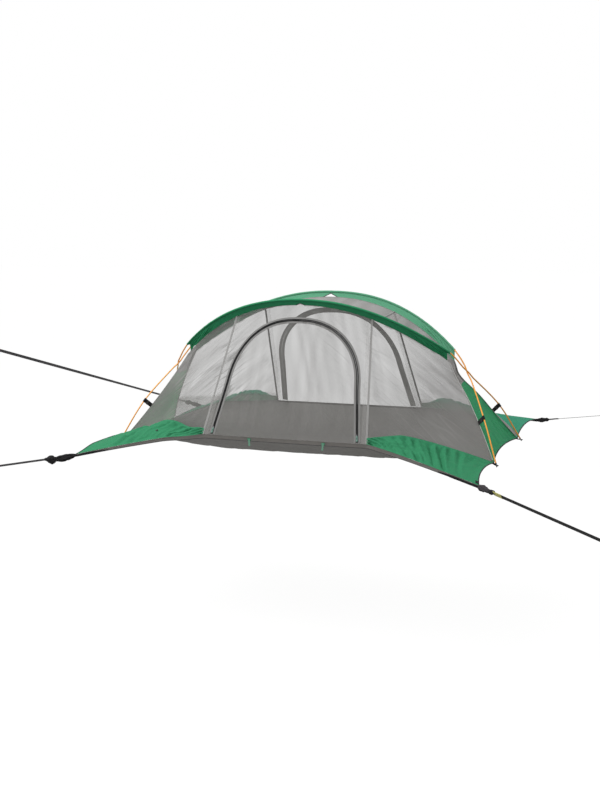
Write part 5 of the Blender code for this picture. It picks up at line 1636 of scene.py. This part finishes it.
def makeToggle(name, lean):
    s = toggleForm
    low, high = (np.array(p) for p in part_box(name))
    top, foot = np.array((low[0] / 2 + high[0] / 2, low[1], high[2])), low[2]
    share = np.linspace(0, 1, 15)
    half = np.interp(share, np.linspace(0, 1, len(s["half"])), s["half"])
    rows = [top + np.array((half[k] * c + lean * t, -s["curl"] * t ** 2 - s["crown"] * (1 - c * c),
                            (foot - top[2]) * t))
            for k, t in enumerate(share) for c in np.linspace(-1, 1, 7)]
    tab = clothMesh(f"{name}_tab", np.reshape(rows, (15, 7, 3)), "paleGreenTape")
    tab = piece(thick(tab, s["thickness"], 0.0003), [name])
    wide, tall = s["patch"]
    rows = [top + np.array((wide * c / 2, -0.0002, 0.003 - tall * t))
            for t in (0, 0.5, 1) for c in (-1, 0, 1)]
    patch = clothMesh(f"{name}_patch", np.reshape(rows, (3, 3, 3)), "greenTaffeta")
    patch = piece(thick(patch, 0.0008))
    line = [top + np.array((c, -0.0012, -0.004)) for c in np.linspace(-0.006, 0.006, 6)]
    sewn = stitches(f"{name}_stitches", line, np.array((0, -1.0, 0)), lift=0.0004,
                    finish="greenThread")
    return [tab, patch, piece(sewn)]


toggles = makeToggle("left_toggle", 0.003) + makeToggle("right_toggle", -0.004)


# zip sliders with a moulded pull

sliderForm = {"height": 0.046, "length": 0.016, "width": 0.0088, "thick": 0.0046, "off": 0.0030,
              "pull": (0.034, 0.0110, 0.0032), "slot": (0.011, 0.0034, 0.0014), "pullThick": 0.0016,
              "profile": ((-0.5, 0.62), (-0.42, 0.84), (-0.1, 0.86), (0.2, 1.0), (0.42, 1.0), (0.5, 0.72))}


def makeSlider(name, x, y):
    s = sliderForm
    foot, out = hand(zipLine[0], -x, y), hand(zipOut[4], -x, y)
    up = unit(hand(zipLine[8], -x, y) - foot)
    out = unit(out - up * out.dot(up))
    sideways = np.cross(up, out)
    middle = foot + up * s["height"] + out * s["off"]
    ring = roundedBox(s["width"], s["thick"], 0.0016, 4)
    rings = [middle + up * (s["length"] * t) + (sideways * ring[:, :1] + out * ring[:, 1:]) * grow
             for t, grow in s["profile"]]
    body = f"{name}_zip"
    piece(loft(f"{name}_slider_body", np.stack(rings), "blackPlastic"),
          [f"{name}_slider"], body)
    arch = [middle + up * (0.0045 * math.cos(a)) + out * (s["thick"] / 2 + 0.0016 * math.sin(a))
            for a in np.linspace(0, math.pi, 14)]
    piece(tube(f"{name}_slider_bridge", arch, 0.0008, "steel", sides=8), (), body)
    length = s["pull"][0]
    centre = middle - up * (length / 2 + 0.001) + out * (s["thick"] / 2 + 0.0007)
    pull = holedPlate(f"{name}_slider_pull", centre, up, sideways, roundedBox(*s["pull"]),
                      roundedBox(*s["slot"]), s["pullThick"], "mutedGreen", 0.0004)
    piece(pull, (), body)


for side, y, label, x in quarters:
    makeSlider(f"{side}_{label}", x, y)
# feet: a webbing tab with an eyelet, and the pole's plug through it

footForm = {"width": 0.017, "outer": 0.014, "inner": 0.006, "drop": 0.0042, "thickness": 0.0032,
            "round": 0.0040, "hole": 0.0048, "eyelet": 0.0010,
            "plug": ((-0.0126, 0.0047), (-0.0120, 0.0055), (-0.0102, 0.0055), (-0.0098, 0.0051),
                     (-0.0092, 0.0051), (-0.0088, 0.0055), (-0.0076, 0.0055), (-0.0067, 0.0044),
                     (-0.0064, 0.0021), (0.0066, 0.0021), (0.0074, 0.0030), (0.0086, 0.0037),
                     (0.0108, 0.0037), (0.0122, 0.0028), (0.0130, 0.0014))}


def makeFoot(name, x, y, over):
    s = footForm
    foot = hand(tent["foot"], 1, -1)
    way = foot - heel
    reach = math.hypot(way[0], way[1]) + s["inner"]
    way[2] = -s["drop"]
    way = unit(way)
    sideways = unit(np.cross(upward, way))
    outer = roundedBox(reach + s["outer"], s["width"], s["round"]) + ((s["outer"] - reach) / 2, 0)
    angle = np.radians([first + 15 * i for first in (0, 90, 180, 270) for i in range(7)])
    hole = np.stack([np.cos(angle), np.sin(angle)], -1) * s["hole"]
    centre, way, sideways = settled(hand(foot, x, y)), hand(way, x, y), hand(sideways, x, y)
    tab = holedPlate(f"{name}_tab_webbing", centre, way, sideways, outer, hole, s["thickness"],
                     "blackWebbing", 0.0005)
    piece(tab, [f"{name}_foot_tab"])
    turn = np.linspace(0, 2 * np.pi, 33)[:, None]
    ring = centre + (way * np.cos(turn) + sideways * np.sin(turn)) * (s["hole"] + s["eyelet"] * 0.4)
    normal = np.cross(way, sideways)
    for k, face in enumerate((1, -1)):
        rim = ring + normal * (face * s["thickness"] / 2)
        piece(tube(f"{name}_eyelet_{k}", rim, s["eyelet"], "steel", sides=8))
    _, down = poleLeg(over)
    down = hand(down, x, -y)
    across = unit(np.cross(down, upward))
    turn = np.linspace(0, 2 * np.pi, 24, endpoint=False)[:, None]
    rings = [centre + down * t + (across * np.cos(turn) + np.cross(across, down) * np.sin(turn)) * r
             for t, r in s["plug"]]
    piece(loft(f"{name}_pole_plug", np.stack(rings), "blackPlastic"),
          [f"{name}_pole_tip"])


for side, y, label, x in quarters:
    makeFoot(f"{side}_{label}", x, y, -y)
print("sliders, toggles and feet: 10")


# flat sizes of the sheets, and the share of a mesh's area that is left without its wrinkles
smoothShare, pleatedShare = 0.985, 0.97
meshArea(canopy) * smoothShare
meshArea(floorTub) / 2 * smoothShare
for made in endCloths:
    meshArea(made) / 2 * pleatedShare
for made in wings:
    meshArea(made) / 2 * pleatedShare
# studio: a pale floor that keeps the shadow, one broad soft light and an even surround

studio = {"floorZ": -1.15, "world": 0.62, "lamp": 200.0, "lampSize": 4.5, "lampAt": (-1.6, -1.6, 4.4),
          "floorSize": 60.0, "glow": 0.82, "glowStrength": 1.10, "bounce": 0.44}


def emptyGraph(owner):
    owner.use_nodes = True
    owner.node_tree.nodes.clear()
    return Graph(owner.node_tree)


def seenRays(graph):
    rays = graph.node("ShaderNodeLightPath")
    return (rays.out("Is Camera Ray") + rays.out("Is Transmission Ray")).atMost(1.0)


def makeWorld(s):
    world = bpy.data.worlds.new("softSurround")
    graph = emptyGraph(world)
    plain = graph.node("ShaderNodeBackground", None, {"Color": (1, 1, 1, 1), "Strength": 1.0})
    light = graph.node("ShaderNodeBackground", None,
                       {"Color": (1, 0.995, 0.985, 1), "Strength": s["world"]})
    both = graph.node("ShaderNodeMixShader", None, {0: seenRays(graph), 1: light, 2: plain})
    graph.node("ShaderNodeOutputWorld", None, {"Surface": both})
    bpy.context.scene.world = world


def makeLamp(s):
    data = bpy.data.lights.new("broadLamp", "AREA")
    data.shape, data.size, data.energy = "SQUARE", s["lampSize"], s["lamp"]
    lamp = placed("broadLamp", data)
    lamp.location = s["lampAt"]
    lamp.rotation_euler = (-Vector(s["lampAt"])).to_track_quat("-Z", "Y").to_euler()
    return lamp


def makeStudioFloor(s):
    half, z = s["floorSize"] / 2, s["floorZ"]
    mesh = bpy.data.meshes.new("studioFloor")
    mesh.from_pydata([(-half, -half, z), (half, -half, z), (half, half, z), (-half, half, z)], [],
                     [(0, 1, 2, 3)])
    material = bpy.data.materials.new("studioWhite")
    graph = emptyGraph(material)
    white = graph.node("ShaderNodeBsdfDiffuse", None, {"Color": (0.9, 0.9, 0.9, 1)})
    glow = graph.node("ShaderNodeEmission", None, {"Color": (1, 1, 1, 1), "Strength": s["glowStrength"]})
    seen = graph.node("ShaderNodeMixShader", None, {0: s["glow"], 1: white, 2: glow})
    dull = graph.node("ShaderNodeBsdfDiffuse", None, {"Color": (s["bounce"], s["bounce"], s["bounce"], 1)})
    both = graph.node("ShaderNodeMixShader", None, {0: seenRays(graph), 1: dull, 2: seen})
    graph.node("ShaderNodeOutputMaterial", None, {"Surface": both})
    mesh.materials.append(material)
    return placed("studioFloor", mesh)


makeWorld(studio)
makeStudioFloor(studio)
makeLamp(studio)
bpy.context.scene.view_settings.view_transform = "Standard"
print("studio ready")
